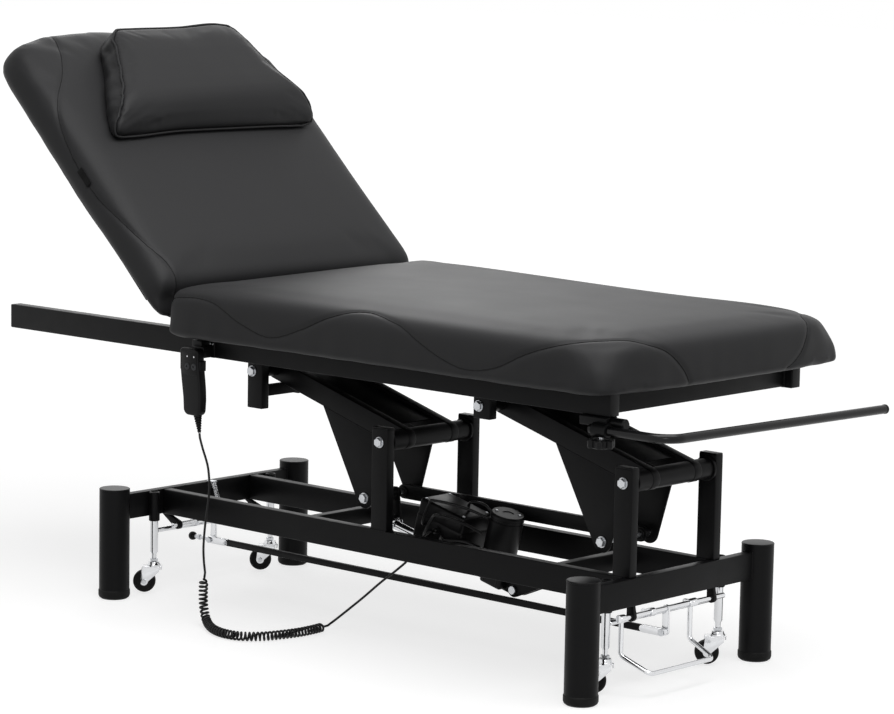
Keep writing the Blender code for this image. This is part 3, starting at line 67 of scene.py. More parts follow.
# Base
leg_x = 0.600
leg_y = 0.250
leg_radius = 0.030
leg_height = 0.220
glide_height = 0.018
glide_radius = 0.0312
rail_low = 0.155
rail_top = 0.205
rail_inner_y = 0.110
rail_outer_y = 0.130
tube_half = 0.010
beam_inner_x = leg_x - tube_half
post_half = 0.020
post_top = 0.400
pivot_z = 0.372
head_post_x = 0.0
foot_post_x = 0.585
member_low = 0.166
member_top = 0.199
head_member_x = -0.209
foot_member_x = 0.413

# Bolts
bolt_radius = 0.005
hex_radius = 0.016 / 2 / cos(pi / 6)
hex_height = 0.007
washer_radius = 0.0105
washer_height = 0.0014

# Lifting arms, drive and link bar
arm_length = 0.3537
arm_angle = radians(16)
arm_half_height = 0.020
arm_outer_y = 0.070
arm_inner_y = 0.050
web_outer_y = 0.069
web_thickness = 0.004
web_reach = 0.211
web_round = 0.020
lever = (-0.0562, -0.1471)
drive_pin = (-0.0342, -0.1981)
link_bar_y = (0.040, 0.050)
link_bar_half_height = 0.014
actuator_pivot = (0.239, 0.112)
motor_x = -0.062
gland_x = -0.168
gland_rise = 0.044
box_cable_radius = 0.0028
control_box_low = (-0.228, -0.0625, 0.0153)
control_box_high = (-0.112, 0.0225, 0.1033)

# Upper frame
upper_pivot_x = -arm_length * cos(arm_angle)
upper_pivot_z = pivot_z + arm_length * sin(arm_angle)
top_low = upper_pivot_z + 0.0425
top_high = top_low + 0.047
top_outer_y = 0.272
top_inner_y = 0.247
top_head_x = -0.889
top_foot_x = 0.667
stub_lead = 0.0135
stub_width = 0.040
head_stub_drop = 0.072
foot_stub_drop = 0.0235
cross_tube_low = top_low + 0.002
cross_tube_top = cross_tube_low + 0.030

# Backrest
pad_bottom = top_high + 0.0003
pad_edge = 0.042
pad_height = 0.0925
pad_half_width = 0.725 / 2
pad_below_hinge = pad_height - pad_edge
bed_head_x = -0.357
bed_foot_x = 0.733
fold_gap = pad_edge / cos(radians(32.5)) - pad_edge + 0.001
hinge = (bed_head_x - fold_gap, pad_bottom + pad_below_hinge)
back_angle = radians(44.5)
back_length = 0.632
board_inset = 0.045
board_half_width = pad_half_width - board_inset
board_thickness = 0.015
hinge_y = 0.190
hinge_radius = 0.006
strut_base = (-0.352, upper_pivot_z - 0.0445)
strut_lug = (-0.330, -0.075)
strut_ear = (0.0065, 0.0105)
strut_lug_radius = 0.010

# Casters and pedal
caster_x = beam_inner_x - 0.00975
caster_y = 0.162
wheel_z = 0.0245
fork_trail = 0.019
fork_rest_turn = radians(-48)
fork_inner = 0.0097
fork_outer = 0.0118
fork_top = 0.0525
wheel_half = 0.009
bail_sleeves = (-0.144, 0.052)
shaft_z = 0.135
shaft_radius = 0.005
head_shaft_x = leg_x - 2 * caster_x
caster_bar_z = 0.1257
crank_drop = 0.042
crank_y = -0.020

# Handset and roll bar
handset_x = -0.3135
handset_top = 0.532
handset_low = 0.406
handset_back_y = -0.2986
handset_thickness = 0.020
handset_y = handset_back_y - handset_thickness / 2
relief_root = (handset_x + 0.0100, handset_y, handset_low - 0.0010)
relief_tip = (handset_x + 0.0150, handset_y, handset_low - 0.0335)
roll_bar_y = -0.2835
roll_bar_z = top_low - 0.0208
roll_bar_radius = 0.0082
knob_x = 0.658
clamp_peg_y = -0.262
key_x = 0.009

# Cord, as in the CAD model
cord_radius = 0.00225
cord_run = 0.009
curl_radius = 0.0070
curl_count = 50
curl_ramp_share = 0.75
drop_route = [
    (-0.2860, -0.3120, 0.345), (-0.2680, -0.3150, 0.312),
    (-0.2605, -0.3180, 0.275), (-0.2640, -0.3180, 0.240), (-0.2720, -0.3170, 0.200),
    (-0.2780, -0.3150, 0.160), (-0.2790, -0.3130, 0.132),
]
curl_route = [
    (-0.2820, -0.3080, 0.098), (-0.2860, -0.3065, 0.082), (-0.2870, -0.3060, 0.060),
    (-0.2840, -0.3070, 0.038), (-0.2720, -0.3120, 0.0185), (-0.2500, -0.3240, 0.0112),
    (-0.2170, -0.3390, 0.0098), (-0.1820, -0.3450, 0.0098), (-0.1490, -0.3370, 0.0098),
    (-0.1240, -0.3120, 0.0098), (-0.1090, -0.2760, 0.0098), (-0.1000, -0.2370, 0.0098),
    (-0.0990, -0.1980, 0.0098), (-0.1020, -0.1650, 0.0100),
]
lead_route = [
    (-0.0980, -0.1380, 0.0205), (-0.0820, -0.1200, 0.0400),
    (-0.0560, -0.1060, 0.0660), (-0.0220, -0.0960, 0.0980), (0.0100, -0.0900, 0.1240),
    (0.0400, -0.0870, 0.1500), (0.0600, -0.0850, 0.1750), (0.0700, -0.0830, 0.1950),
]

# Pillow, on the backrest's top
pillow_low = -0.377
pillow_height = 0.240
pillow_half_widths = (0.290, 0.153)
pillow_shift = 0.013
pillow_bottom = pad_edge + 0.0059
pillow_thickness = 0.070
pillow_places = (0.0, 0.24, 0.36, 0.75, 1.0)
pillow_shares = (0.42, 0.97, 1.00, 0.94, 0.80)

# Seams of the upholstery: along X, across Y and height over the pad's underside
bed_seam = [
    (-0.352, 0.350, 0.068), (-0.314, 0.352, 0.074), (-0.271, 0.350, 0.077), (-0.222, 0.353, 0.071),
    (-0.146, 0.354, 0.038), (-0.071, 0.352, 0.021), (0.008, 0.354, 0.044), (0.077, 0.348, 0.076),
    (0.120, 0.330, 0.087), (0.163, 0.325, 0.089), (0.234, 0.345, 0.080), (0.302, 0.353, 0.047),
    (0.362, 0.352, 0.023), (0.415, 0.350, 0.014), (0.477, 0.352, 0.025), (0.541, 0.354, 0.055),
    (0.607, 0.340, 0.081), (0.646, 0.298, 0.089), (0.680, 0.255, 0.089), (0.709, 0.221, 0.082),
    (0.721, 0.178, 0.061), (0.724, 0.140, 0.027), (0.722, 0.125, 0.004),
]
bed_far_seam = bed_seam[:18] + [
    (0.680, 0.252, 0.089), (0.709, 0.235, 0.081), (0.721, 0.222, 0.060), (0.724, 0.198, 0.027),
    (0.722, 0.160, 0.002),
]
back_seam = [
    (-0.658, 0.225, 0.060), (-0.640, 0.233, 0.086), (-0.600, 0.250, 0.092), (-0.548, 0.279, 0.092),
    (-0.489, 0.324, 0.089), (-0.443, 0.344, 0.080), (-0.388, 0.351, 0.067), (-0.316, 0.352, 0.059),
    (-0.256, 0.352, 0.063), (-0.189, 0.346, 0.079), (-0.119, 0.330, 0.087), (-0.074, 0.314, 0.089),
    (-0.035, 0.308, 0.085), (-0.014, 0.306, 0.062), (-0.010, 0.305, 0.030),
]
back_far_seam = back_seam[:10] + [
    (-0.119, 0.348, 0.078), (-0.070, 0.353, 0.066), (-0.030, 0.354, 0.050), (-0.010, 0.350, 0.030),
]
tag_along = -0.314

# Sides of round shapes, and how meshes are finished
fine_sides = 64
round_sides = 40
small_sides = 24
screw_sides = 16
bead_sides = 10
hex_sides = 6
smooth_below = radians(32)
weld_distance = 0.00001
fit_gap = 0.0004
route_spacing = 0.006
# What comes twice, with its sign along X or Y
ends = (("head", -1), ("foot", 1))
sides = (("near", -1), ("far", 1))


def hex_colour(code):
    """A linear colour from an sRGB hex value such as #1F1F20."""
    values = [int(code[start:start + 2], 16) / 255 for start in (1, 3, 5)]
    return tuple(value / 12.92 if value <= 0.04045 else ((value + 0.055) / 1.055) ** 2.4
                 for value in values) + (1.0,)


def colour_property(name, description, code):
    return bpy.props.FloatVectorProperty(
        name=name, description=description, subtype="COLOR", size=4, min=0, max=1,
        default=hex_colour(code))


def length_property(name, description, value):
    return bpy.props.FloatProperty(
        name=name, description=description, default=value, min=0, unit="LENGTH", precision=4)


class TableSizes(bpy.types.PropertyGroup):
    """Sizes of the finish that a user may change"""
    tube_edge: length_property("Tube edge", "Outer corner radius of the square tubes", 0.0020)
    plate_edge: length_property("Plate edge", "Broken edge of the flat steel plates", 0.0007)
    weld_bead: length_property("Weld bead", "Radius of the welds where tubes meet", 0.0016)
    pad_voxel: length_property("Pad mesh", "Mesh size of the two large cushions", 0.0080)
    pillow_voxel: length_property("Pillow mesh", "Mesh size of the pillow", 0.0055)
    swell: length_property("Swell", "The most that the foam pushes the leather out", 0.0040)
    seam_depth: length_property("Seam depth", "How deep a seam lies in the leather", 0.0022)
    seam_width: length_property("Seam width", "Half width of the valley beside a seam", 0.0050)
    thread: length_property("Thread", "Radius of the seam's thread line", 0.0007)
    piping: length_property("Piping", "Radius of the pillow's piping", 0.0024)


class TableColours(bpy.types.PropertyGroup):
    """Colours of the finishes"""
    leather: colour_property("Leather", "Imitation leather of the cushions", "#242425")
    powder: colour_property("Powder coat", "Coat of the steel frame", "#121213")
    plastic: colour_property("Plastic", "Moulded handset, drive and caps", "#121213")
    button: colour_property("Buttons", "Keys of the handset", "#4A4B4D")
    rubber: colour_property("Rubber", "Tyres and glides", "#131313")
    cord: colour_property("Cord", "Jacket of the handset's cord", "#0E0E0F")
    chrome: colour_property("Chrome", "Plated casters, pedal and rods", "#DADBDD")
    zinc: colour_property("Zinc", "Plated bolts", "#C3C5C8")
    board: colour_property("Board", "Stained boards under the cushions", "#171513")
    thread: colour_property("Thread", "Seams of the cushions", "#0C0C0C")
    tag: colour_property("Woven tag", "Plain tag on the backrest's side", "#060606")
    floor: colour_property("Floor", "Studio floor and background", "#A6A6A6")


def sizes_of_finish():
    return bpy.context.scene.table_sizes


def colours():
    return bpy.context.scene.table_colours


# Materials


def add_node(tree, kind, inputs=None, **settings):
    """Add a node with its settings; an input takes a value or a link from a socket."""
    added = tree.nodes.new(kind)
    for name, value in settings.items():
        setattr(added, name, value)
    for name, value in (inputs or {}).items():
        if isinstance(value, bpy.types.NodeSocket):
            tree.links.new(value, added.inputs[name])
        else:
            added.inputs[name].default_value = value
    return added


def start_material(name, roughness, specular=0.5, metallic=0.0):
    """A material with its Principled shader and object coordinates."""
    material = bpy.data.materials.new(name)
    material.use_nodes = True
    tree = material.node_tree
    shader = tree.nodes["Principled BSDF"]
    shader.inputs["Roughness"].default_value = roughness
    shader.inputs["Metallic"].default_value = metallic
    shader.inputs["Specular IOR Level"].default_value = specular
    place = add_node(tree, "ShaderNodeTexCoord").outputs["Object"]
    return material, tree, shader, place


def vary_colour(tree, shader, place, colour, scale, spread):
    """Mottle the base colour between a darker and a lighter tone."""
    mottle = add_node(tree, "ShaderNodeTexNoise", {"Vector": place, "Scale": scale, "Detail": 3.0})
    dark = [channel * (1 - spread) for channel in colour[:3]] + [1]
    light = [channel * (1 + spread) for channel in colour[:3]] + [1]
    mixed = add_node(tree, "ShaderNodeMix", {0: mottle.outputs["Fac"], 6: dark, 7: light},
                     data_type="RGBA")
    tree.links.new(mixed.outputs[2], shader.inputs["Base Color"])
    return mottle


def vary_roughness(tree, shader, place, scale, low, high):
    """Let the gloss drift between two roughness values over patches of 1 / scale."""
    patches = add_node(tree, "ShaderNodeTexNoise", {"Vector": place, "Scale": scale, "Detail": 4.0})
    spread = add_node(tree, "ShaderNodeMapRange",
                      {"Value": patches.outputs["Fac"], "From Min": 0.3, "From Max": 0.7,
                       "To Min": low, "To Max": high})
    tree.links.new(spread.outputs["Result"], shader.inputs["Roughness"])


def add_bump(tree, shader, height, strength, distance, before=None):
    """Raise a pattern in the shader's normal, on top of an earlier one."""
    inputs = {"Height": height, "Strength": strength, "Distance": distance}
    if before:
        inputs["Normal"] = before
    bump = add_node(tree, "ShaderNodeBump", inputs)
    tree.links.new(bump.outputs["Normal"], shader.inputs["Normal"])
    return bump.outputs["Normal"]


def imitation_leather():
    """Calendered imitation leather: a soft sheen on an embossed pebble grain.

    The real grain is about 1 mm; it is drawn at 2.2 mm, the least that shows in the render.
    """
    material, tree, shader, place = start_material("imitation leather, calendered", 0.52, 0.16)
    vary_colour(tree, shader, place, colours().leather, 3.0, 0.04)
    vary_roughness(tree, shader, place, 6.0, 0.50, 0.54)
    drape = add_node(tree, "ShaderNodeTexNoise", {"Vector": place, "Scale": 5.0, "Detail": 1.0})
    soft = add_bump(tree, shader, drape.outputs["Fac"], 0.10, 0.004)
    grain = add_node(tree, "ShaderNodeTexVoronoi", {"Vector": place, "Scale": 1 / 0.0022},
                     feature="DISTANCE_TO_EDGE")
    add_bump(tree, shader, grain.outputs["Distance"], 0.30, 0.0003, soft)
    return material


def powder_coat():
    """Satin powder coat on steel: a faint orange peel of about 1.5 mm over an even black."""
    material, tree, shader, place = start_material("black powder coat, satin", 0.42, 0.10)
    vary_colour(tree, shader, place, colours().powder, 8.0, 0.10)
    vary_roughness(tree, shader, place, 30.0, 0.38, 0.46)
    peel = add_node(tree, "ShaderNodeTexNoise", {"Vector": place, "Scale": 1 / 0.0015, "Detail": 2.0})
    add_bump(tree, shader, peel.outputs["Fac"], 0.12, 0.0004)
    return material


def gloss_enamel():
    """Black stoved enamel: the powder coat's colour with a wet gloss and a faint orange peel."""
    material, tree, shader, place = start_material("black enamel, gloss", 0.24, 0.22)
    vary_colour(tree, shader, place, colours().powder, 12.0, 0.08)
    peel = add_node(tree, "ShaderNodeTexNoise", {"Vector": place, "Scale": 1 / 0.0030, "Detail": 1.0})
    add_bump(tree, shader, peel.outputs["Fac"], 0.08, 0.0003)
    return material


def moulded_plastic(name, colour, roughness):
    """Injection-moulded ABS: a fine spark-eroded texture of about 0.8 mm that dulls the gloss."""
    material, tree, shader, place = start_material(name, roughness, 0.14)
    vary_colour(tree, shader, place, colour, 40.0, 0.06)
    texture = add_node(tree, "ShaderNodeTexNoise", {"Vector": place, "Scale": 1 / 0.0008})
    add_bump(tree, shader, texture.outputs["Fac"], 0.18, 0.0002)
    return material


def black_abs():
    return moulded_plastic("ABS, moulded black", colours().plastic, 0.36)


def grey_button():
    return moulded_plastic("ABS, moulded grey", colours().button, 0.42)


def grey_rubber():
    """Cured rubber: matt, with a dusty mottle from use."""
    material, tree, shader, place = start_material("rubber, moulded", 0.62, 0.15)
    vary_colour(tree, shader, place, colours().rubber, 60.0, 0.18)
    vary_roughness(tree, shader, place, 80.0, 0.55, 0.72)
    return material


def cord_jacket():
    """Polyurethane cord jacket: smooth, half gloss."""
    material, tree, shader, place = start_material("PU cord jacket, extruded", 0.34, 0.20)
    vary_colour(tree, shader, place, colours().cord, 90.0, 0.08)
    return material


def chrome_plate():
    """Bright chrome on steel tube, with faint polishing marks about 0.6 mm apart."""
    material, tree, shader, place = start_material("chrome plate, polished", 0.12, metallic=1.0)
    vary_colour(tree, shader, place, colours().chrome, 25.0, 0.03)
    vary_roughness(tree, shader, place, 1 / 0.0100, 0.08, 0.20)
    marks = add_node(tree, "ShaderNodeTexNoise", {"Vector": place, "Scale": 1 / 0.0006, "Detail": 1.0})
    add_bump(tree, shader, marks.outputs["Fac"], 0.04, 0.0001)
    return material


def zinc_plate():
    """Bright zinc plate: greyer and rougher than chrome, with cloudy patches of 4 mm."""
    material, tree, shader, place = start_material("zinc plate, passivated", 0.30, metallic=1.0)
    vary_colour(tree, shader, place, colours().zinc, 1 / 0.0040, 0.10)
    vary_roughness(tree, shader, place, 1 / 0.0030, 0.24, 0.40)
    return material


def stained_board():
    """Stained plywood: long grain along X, a few millimetres apart, under a matt stain."""
    material, tree, shader, place = start_material("plywood, stained black", 0.66, 0.15)
    stretch = add_node(tree, "ShaderNodeMapping", {"Vector": place, "Scale": (3.0, 160.0, 160.0)})
    grain = vary_colour(tree, shader, stretch.outputs["Vector"], colours().board, 1.0, 0.35)
    add_bump(tree, shader, grain.outputs["Fac"], 0.2, 0.0004)
    return material


def seam_thread():
    """Twisted polyester thread, drawn as one dark line in its valley."""
    material, tree, shader, place = start_material("polyester thread", 0.7, 0.15)
    vary_colour(tree, shader, place, colours().thread, 1 / 0.0030, 0.30)
    return material


def woven_tag():
    """Woven polyester tape: threads 0.8 mm apart across a folded tag."""
    material, tree, shader, place = start_material("polyester tape, woven", 0.8, 0.15)
    weave = add_node(tree, "ShaderNodeTexWave", {"Vector": place, "Scale": 1 / 0.0050},
                     bands_direction="Z")
    vary_colour(tree, shader, place, colours().tag, 1 / 0.0020, 0.2)
    add_bump(tree, shader, weave.outputs["Fac"], 0.5, 0.0004)
    return material


makers = {
    "leather": imitation_leather, "powder": powder_coat, "enamel": gloss_enamel,
    "plastic": black_abs, "button": grey_button, "rubber": grey_rubber, "cord": cord_jacket,
    "chrome": chrome_plate, "zinc": zinc_plate,
    "board": stained_board, "thread": seam_thread, "tag": woven_tag,
}
made = {}


def finish(name):
    """The material of that finish, made once."""
    if name not in made:
        made[name] = makers[name]()
    return made[name]


# Shapes


def pick(item):
    """Select only this object and make it active."""
    bpy.ops.object.select_all(action="DESELECT")
    item.select_set(True)
    bpy.context.view_layer.objects.active = item


def paint(item, finish_name):
    item.data.materials.clear()
    item.data.materials.append(finish(finish_name))
    return item


def place_by(item, matrix):
    """Move an object by a matrix and put its place into its mesh."""
    pick(item)
    item.matrix_world = matrix @ item.matrix_world
    bpy.ops.object.transform_apply(location=True, rotation=True, scale=True)
    return item


def edit(item):
    """Open an object in edit mode with all of it selected."""
    pick(item)
    bpy.ops.object.mode_set(mode="EDIT")
    bpy.ops.mesh.select_all(action="SELECT")


def bar(low, high, finish_name, edge=None, steps=3):
    """A square tube or block between two corners, all its edges rounded."""
    low = Vector(low)
    high = Vector(high)
    edge = sizes_of_finish().tube_edge if edge is None else edge
    bpy.ops.object.select_all(action="DESELECT")
    bpy.ops.mesh.primitive_cube_add(size=1, location=(low + high) / 2, scale=high - low)
    item = bpy.context.object
    bpy.ops.object.transform_apply(location=True, rotation=True, scale=True)
    edit(item)
    bpy.ops.mesh.bevel(offset=min(edge, min(high - low) / 2.2), segments=steps, affect="EDGES")
    bpy.ops.object.mode_set(mode="OBJECT")
    return paint(item, finish_name)


def turned(profile, finish_name, place=(0, 0, 0), axis=(0, 0, 1), count=round_sides):
    """A disc drawn out through the profile's (radius, height) points, then turned to its axis."""
    radius, height = profile[0]
    bpy.ops.object.select_all(action="DESELECT")
    bpy.ops.mesh.primitive_circle_add(vertices=count, radius=radius, fill_type="NGON",
                                      location=(0, 0, height))
    item = bpy.context.object
    bpy.ops.object.transform_apply(location=True, rotation=True, scale=True)
    edit(item)
    for wide, tall in profile[1:]:
        bpy.ops.mesh.extrude_region_move(TRANSFORM_OT_translate={"value": (0, 0, tall - height)})
        bpy.ops.transform.resize(value=(wide / radius, wide / radius, 1),
                                 center_override=(0, 0, tall))
        radius, height = wide, tall
    bpy.ops.mesh.select_all(action="SELECT")
    bpy.ops.mesh.normals_make_consistent(inside=False)
    bpy.ops.object.mode_set(mode="OBJECT")
    turn = Vector(axis).to_track_quat("Z", "Y").to_matrix().to_4x4()
    return paint(place_by(item, Matrix.Translation(place) @ turn), finish_name)


def shaft(start, end, radius, finish_name, edge=0.0006, count=small_sides):
    """A round bar between two points, its ends chamfered."""
    span = Vector(end) - Vector(start)
    length = span.length
    profile = [(radius - edge, 0), (radius, edge), (radius, length - edge), (radius - edge, length)]
    return turned(profile, finish_name, start, span, count)


def cross_shaft(x, z, y_start, y_end, radius, finish_name, edge=0.0006, count=small_sides):
    """A round bar along Y."""
    return shaft((x, y_start, z), (x, y_end, z), radius, finish_name, edge, count)


def hex_head(place, axis):
    """A washer and a chamfered hex head that stand on a face."""
    step = Vector(axis).normalized() * washer_height
    flank = hex_height - washer_height
    head = [(hex_radius, 0), (hex_radius, flank - 0.0012), (hex_radius - 0.0011, flank)]
    washer = [(washer_radius, 0), (washer_radius, washer_height - 0.0003),
              (washer_radius - 0.0003, washer_height)]
    return [turned(washer, "zinc", place, axis, small_sides),
            turned(head, "zinc", Vector(place) + step, axis, hex_sides)]


def curve_object(points, closed):
    """A POLY curve through points."""
    curve = bpy.data.curves.new("line", "CURVE")
    spline = curve.splines.new("POLY")
    spline.points.add(len(points) - 1)
    for point, place in zip(spline.points, points):
        point.co = (*place, 1)
    spline.use_cyclic_u = closed
    item = bpy.data.objects.new("line", curve)
    bpy.context.scene.collection.objects.link(item)
    return item


def made_mesh(item):
    """Turn a curve object into a closed mesh."""
    pick(item)
    bpy.ops.object.convert(target="MESH")
    item = bpy.context.object
    edit(item)
    bpy.ops.mesh.remove_doubles(threshold=weld_distance)
    bpy.ops.mesh.normals_make_consistent(inside=False)
    bpy.ops.object.mode_set(mode="OBJECT")
    return item


def bent_tube(points, radius, finish_name, closed=False, roundness=4):
    """A round tube along points, its ends filled."""
    item = curve_object(points, closed)
    item.data.dimensions = "3D"
    item.data.bevel_depth = radius
    item.data.bevel_resolution = roundness
    item.data.use_fill_caps = not closed
    item.data.splines[0].use_smooth = True
    return paint(made_mesh(item), finish_name)


def flat_plate(outline, y_start, y_end, finish_name, edge=None, steps=1):
    """A plate square to Y from an outline of (x, z) points, its edges broken."""
    edge = sizes_of_finish().plate_edge if edge is None else edge
    item = curve_object([(x, z, 0) for x, z in outline], closed=True)
    curve = item.data
    curve.dimensions = "2D"
    curve.fill_mode = "BOTH"
    curve.extrude = (y_end - y_start) / 2 - edge
    curve.bevel_depth = edge
    curve.bevel_resolution = steps
    curve.offset = -edge
    upright = Matrix.Translation((0, (y_start + y_end) / 2, 0)) @ Matrix.Rotation(pi / 2, 4, "X")
    return paint(place_by(made_mesh(item), upright), finish_name)


def arc(centre, radius, start, end, steps=10):
    return [(centre[0] + radius * cos(start + (end - start) * step / steps),
             centre[1] + radius * sin(start + (end - start) * step / steps))
            for step in range(steps + 1)]


def round_bar(first, last, radius):
    """The outline of a flat bar with round ends about two points."""
    heading = atan2(last[1] - first[1], last[0] - first[0])
    return (arc(last, radius, heading - pi / 2, heading + pi / 2, 14)
            + arc(first, radius, heading + pi / 2, heading + 3 * pi / 2, 14))


def rounded_path(corners, bend, steps=8):
    """A path through corners, each turned into an arc of the bend radius."""
    corners = [Vector(corner) for corner in corners]
    path = [corners[0]]
    for before, corner, after in zip(corners, corners[1:], corners[2:]):
        back = (before - corner).normalized()
        ahead = (after - corner).normalized()
        half = back.angle(ahead) / 2
        centre = corner + (back + ahead).normalized() * bend / sin(half)
        first = corner + back * bend / tan(half)
        last = corner + ahead * bend / tan(half)
        for step in range(steps + 1):
            spoke = (first - centre).lerp(last - centre, step / steps).normalized()
            path.append(centre + spoke * bend)
    path.append(corners[-1])
    return path


def smooth_route(route, spacing):
    """Evenly spaced points on a smooth curve through a route."""
    points = [Vector(place) for place in route]
    run = [points[0] * 2 - points[1]] + points + [points[-1] * 2 - points[-2]]
    fine = []
    for before, start, end, after in zip(run, run[1:], run[2:], run[3:]):
        steps = max(2, ceil((end - start).length / spacing * 4))
        for step in range(steps):
            share = step / steps
            fine.append(0.5 * (2 * start + (end - before) * share
                               + (2 * before - 5 * start + 4 * end - after) * share ** 2
                               + (3 * start - before - 3 * end + after) * share ** 3))
    fine.append(points[-1])
    reach = [0.0]
    for start, end in zip(fine, fine[1:]):
        reach.append(reach[-1] + (end - start).length)
    count = max(2, round(reach[-1] / spacing))
    even = []
    index = 0
    for step in range(count + 1):
        along = reach[-1] * step / count
        while index < len(reach) - 2 and reach[index + 1] < along:
            index += 1
        share = (along - reach[index]) / (reach[index + 1] - reach[index])
        even.append(fine[index].lerp(fine[index + 1], min(1, share)))
    return even


def weld_ring(corners):
    """A bead of weld round a joint."""
    return bent_tube(rounded_path([*corners, corners[0]], 0.0020, 3)[:-1],
                     sizes_of_finish().weld_bead, "powder", closed=True, roundness=2)


def weld_line(start, end, share=0.8):
    """A straight bead of weld, as a share of the full bead."""
    return shaft(start, end, sizes_of_finish().weld_bead * share, "powder", 0.0003, bead_sides)


def on_side(side, inner, outer):
    """The two faces at these distances from the middle, in rising order, on the -1 or +1 side."""
    return sorted((side * inner, side * outer))


def section_ring(x_range, y_range, z_range):
    """The four corners of a tube's section; the range across it is a single value, in Y or in Z."""
    if isinstance(y_range, float):
        y = y_range
        return [(x_range[0], y, z_range[0]), (x_range[1], y, z_range[0]),
                (x_range[1], y, z_range[1]), (x_range[0], y, z_range[1])]
    z = z_range
    return [(x_range[0], y_range[0], z), (x_range[1], y_range[0], z),
            (x_range[1], y_range[1], z), (x_range[0], y_range[1], z)]


def cross_tube(x_range, reach, z_range, inset):
    """A square tube along Y with a bead of weld round each end."""
    items = [bar((x_range[0], -reach, z_range[0]), (x_range[1], reach, z_range[1]), "powder")]
    for side in (-1, 1):
        items.append(weld_ring(section_ring(x_range, side * (reach - inset), z_range)))
    return items


def screw(place, radius, flank, crown, top, axis=(0, 0, 1)):
    """A small zinc screw head that stands on a face."""
    return turned([(radius, 0), (radius, flank), (crown, top)], "zinc", place, axis, screw_sides)


def join(items):
    bpy.ops.object.select_all(action="DESELECT")
    for item in items:
        item.select_set(True)
    bpy.context.view_layer.objects.active = items[0]
    if len(items) > 1:
        bpy.ops.object.join()
    return bpy.context.object


low_leg, high_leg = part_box("leg_head_near"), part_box("leg_foot_near")
to_frame = Matrix.Translation(((low_leg[0].x + high_leg[1].x) / 2, 0, 0))


def leaning(x, z, angle):
    """The frame of a piece that turns about Y at a place."""
    return Matrix.Translation((x, 0, z)) @ Matrix.Rotation(angle, 4, "Y")


def finish_piece(name, items, body, nodes=(), local=None):
    """Join a piece, put it in its place on its body, and hide its CAD nodes."""
    piece = join(items)
    piece.name = name
    piece.data.name = name
    place_by(piece, to_frame @ (local or Matrix()))
    bpy.ops.object.shade_smooth_by_angle(angle=smooth_below)
    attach(piece, body)
    if nodes:
        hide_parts(*nodes)
    return piece


# Base


def leg(end, side, x, y):
    tube = turned([(leg_radius, glide_height - 0.001), (leg_radius, leg_height - 0.0035),
                   (leg_radius - 0.0006, leg_height - 0.0030)], "powder", (x, y, 0), count=fine_sides)
    glide = turned([(glide_radius - 0.0055, 0), (glide_radius - 0.0015, 0.0030),
                    (glide_radius, 0.0070), (glide_radius, glide_height - 0.0015),
                    (glide_radius - 0.0012, glide_height)], "rubber", (x, y, 0), count=fine_sides)
    top = leg_height
    cap = turned([(leg_radius - 0.0008, top - 0.0036), (leg_radius + 0.0002, top - 0.0030),
                  (leg_radius + 0.0002, top - 0.0014), (leg_radius - 0.0010, top - 0.0003),
                  (leg_radius - 0.0030, top), (0.0040, top)], "plastic", (x, y, 0), count=fine_sides)
    return finish_piece(f"{end}_{side}_round_leg", [tube, glide, cap], "root", [f"leg_{end}_{side}"])


def end_beam(end, sign, shaft_x):
    """A beam with its weld beads, two caster sleeves and two shaft lugs."""
    x = sign * leg_x
    reach = leg_y - leg_radius + 0.004
    items = cross_tube((x - tube_half, x + tube_half), reach, (rail_low, rail_top), 0.0035)
    for side in (-1, 1):
        stem = (sign * caster_x, side * caster_y)
        items.append(turned([(0.0095, 0.146), (0.01075, 0.147), (0.01075, 0.203), (0.0098, 0.204)],
                            "powder", (*stem, 0), count=round_sides))
        y = side * 0.115
        heading = atan2(shaft_z - rail_low, shaft_x - x)
        outline = ([(x - 0.009, rail_low + 0.001), (x + 0.0045, rail_low + 0.001)]
                   + arc((shaft_x, shaft_z), 0.009, heading + pi / 2, heading - pi / 2))
        items.append(flat_plate(outline, y - 0.004, y + 0.004, "powder"))
    return finish_piece(f"{end}_beam_tube", items, "root", [f"{end}_end_beam"])


def base_rail(side, sign):
    """A long rail with two posts, each with a pressed-in plastic cap."""
    near, far = on_side(sign, rail_inner_y, rail_outer_y)
    end = beam_inner_x - fit_gap
    items = [bar((-end, near, rail_low), (end, far, rail_top), "powder")]
    for x in (head_post_x, foot_post_x):
        items.append(bar((x - post_half, near, rail_top - 0.0006), (x + post_half, far, post_top - 0.002),
                         "powder"))
        items.append(bar((x - post_half + 0.0005, near + 0.0005, post_top - 0.003),
                         (x + post_half - 0.0005, far - 0.0005, post_top), "plastic", 0.0012))
        left = x - post_half
        right = min(x + post_half, end)
        for y in (near, far):
            items.append(weld_line((left, y, rail_top), (right, y, rail_top)))
        items.append(weld_line((left, near, rail_top), (left, far, rail_top), 1.0))
    for x in (-end, end):
        inward = 0.0006 if x < 0 else -0.0006
        items.append(weld_line((x + inward, near, rail_top - 0.0004), (x + inward, far, rail_top - 0.0004)))
    return finish_piece(f"{side}_rail_and_posts", items, "root", [f"{side}_base_rail"])


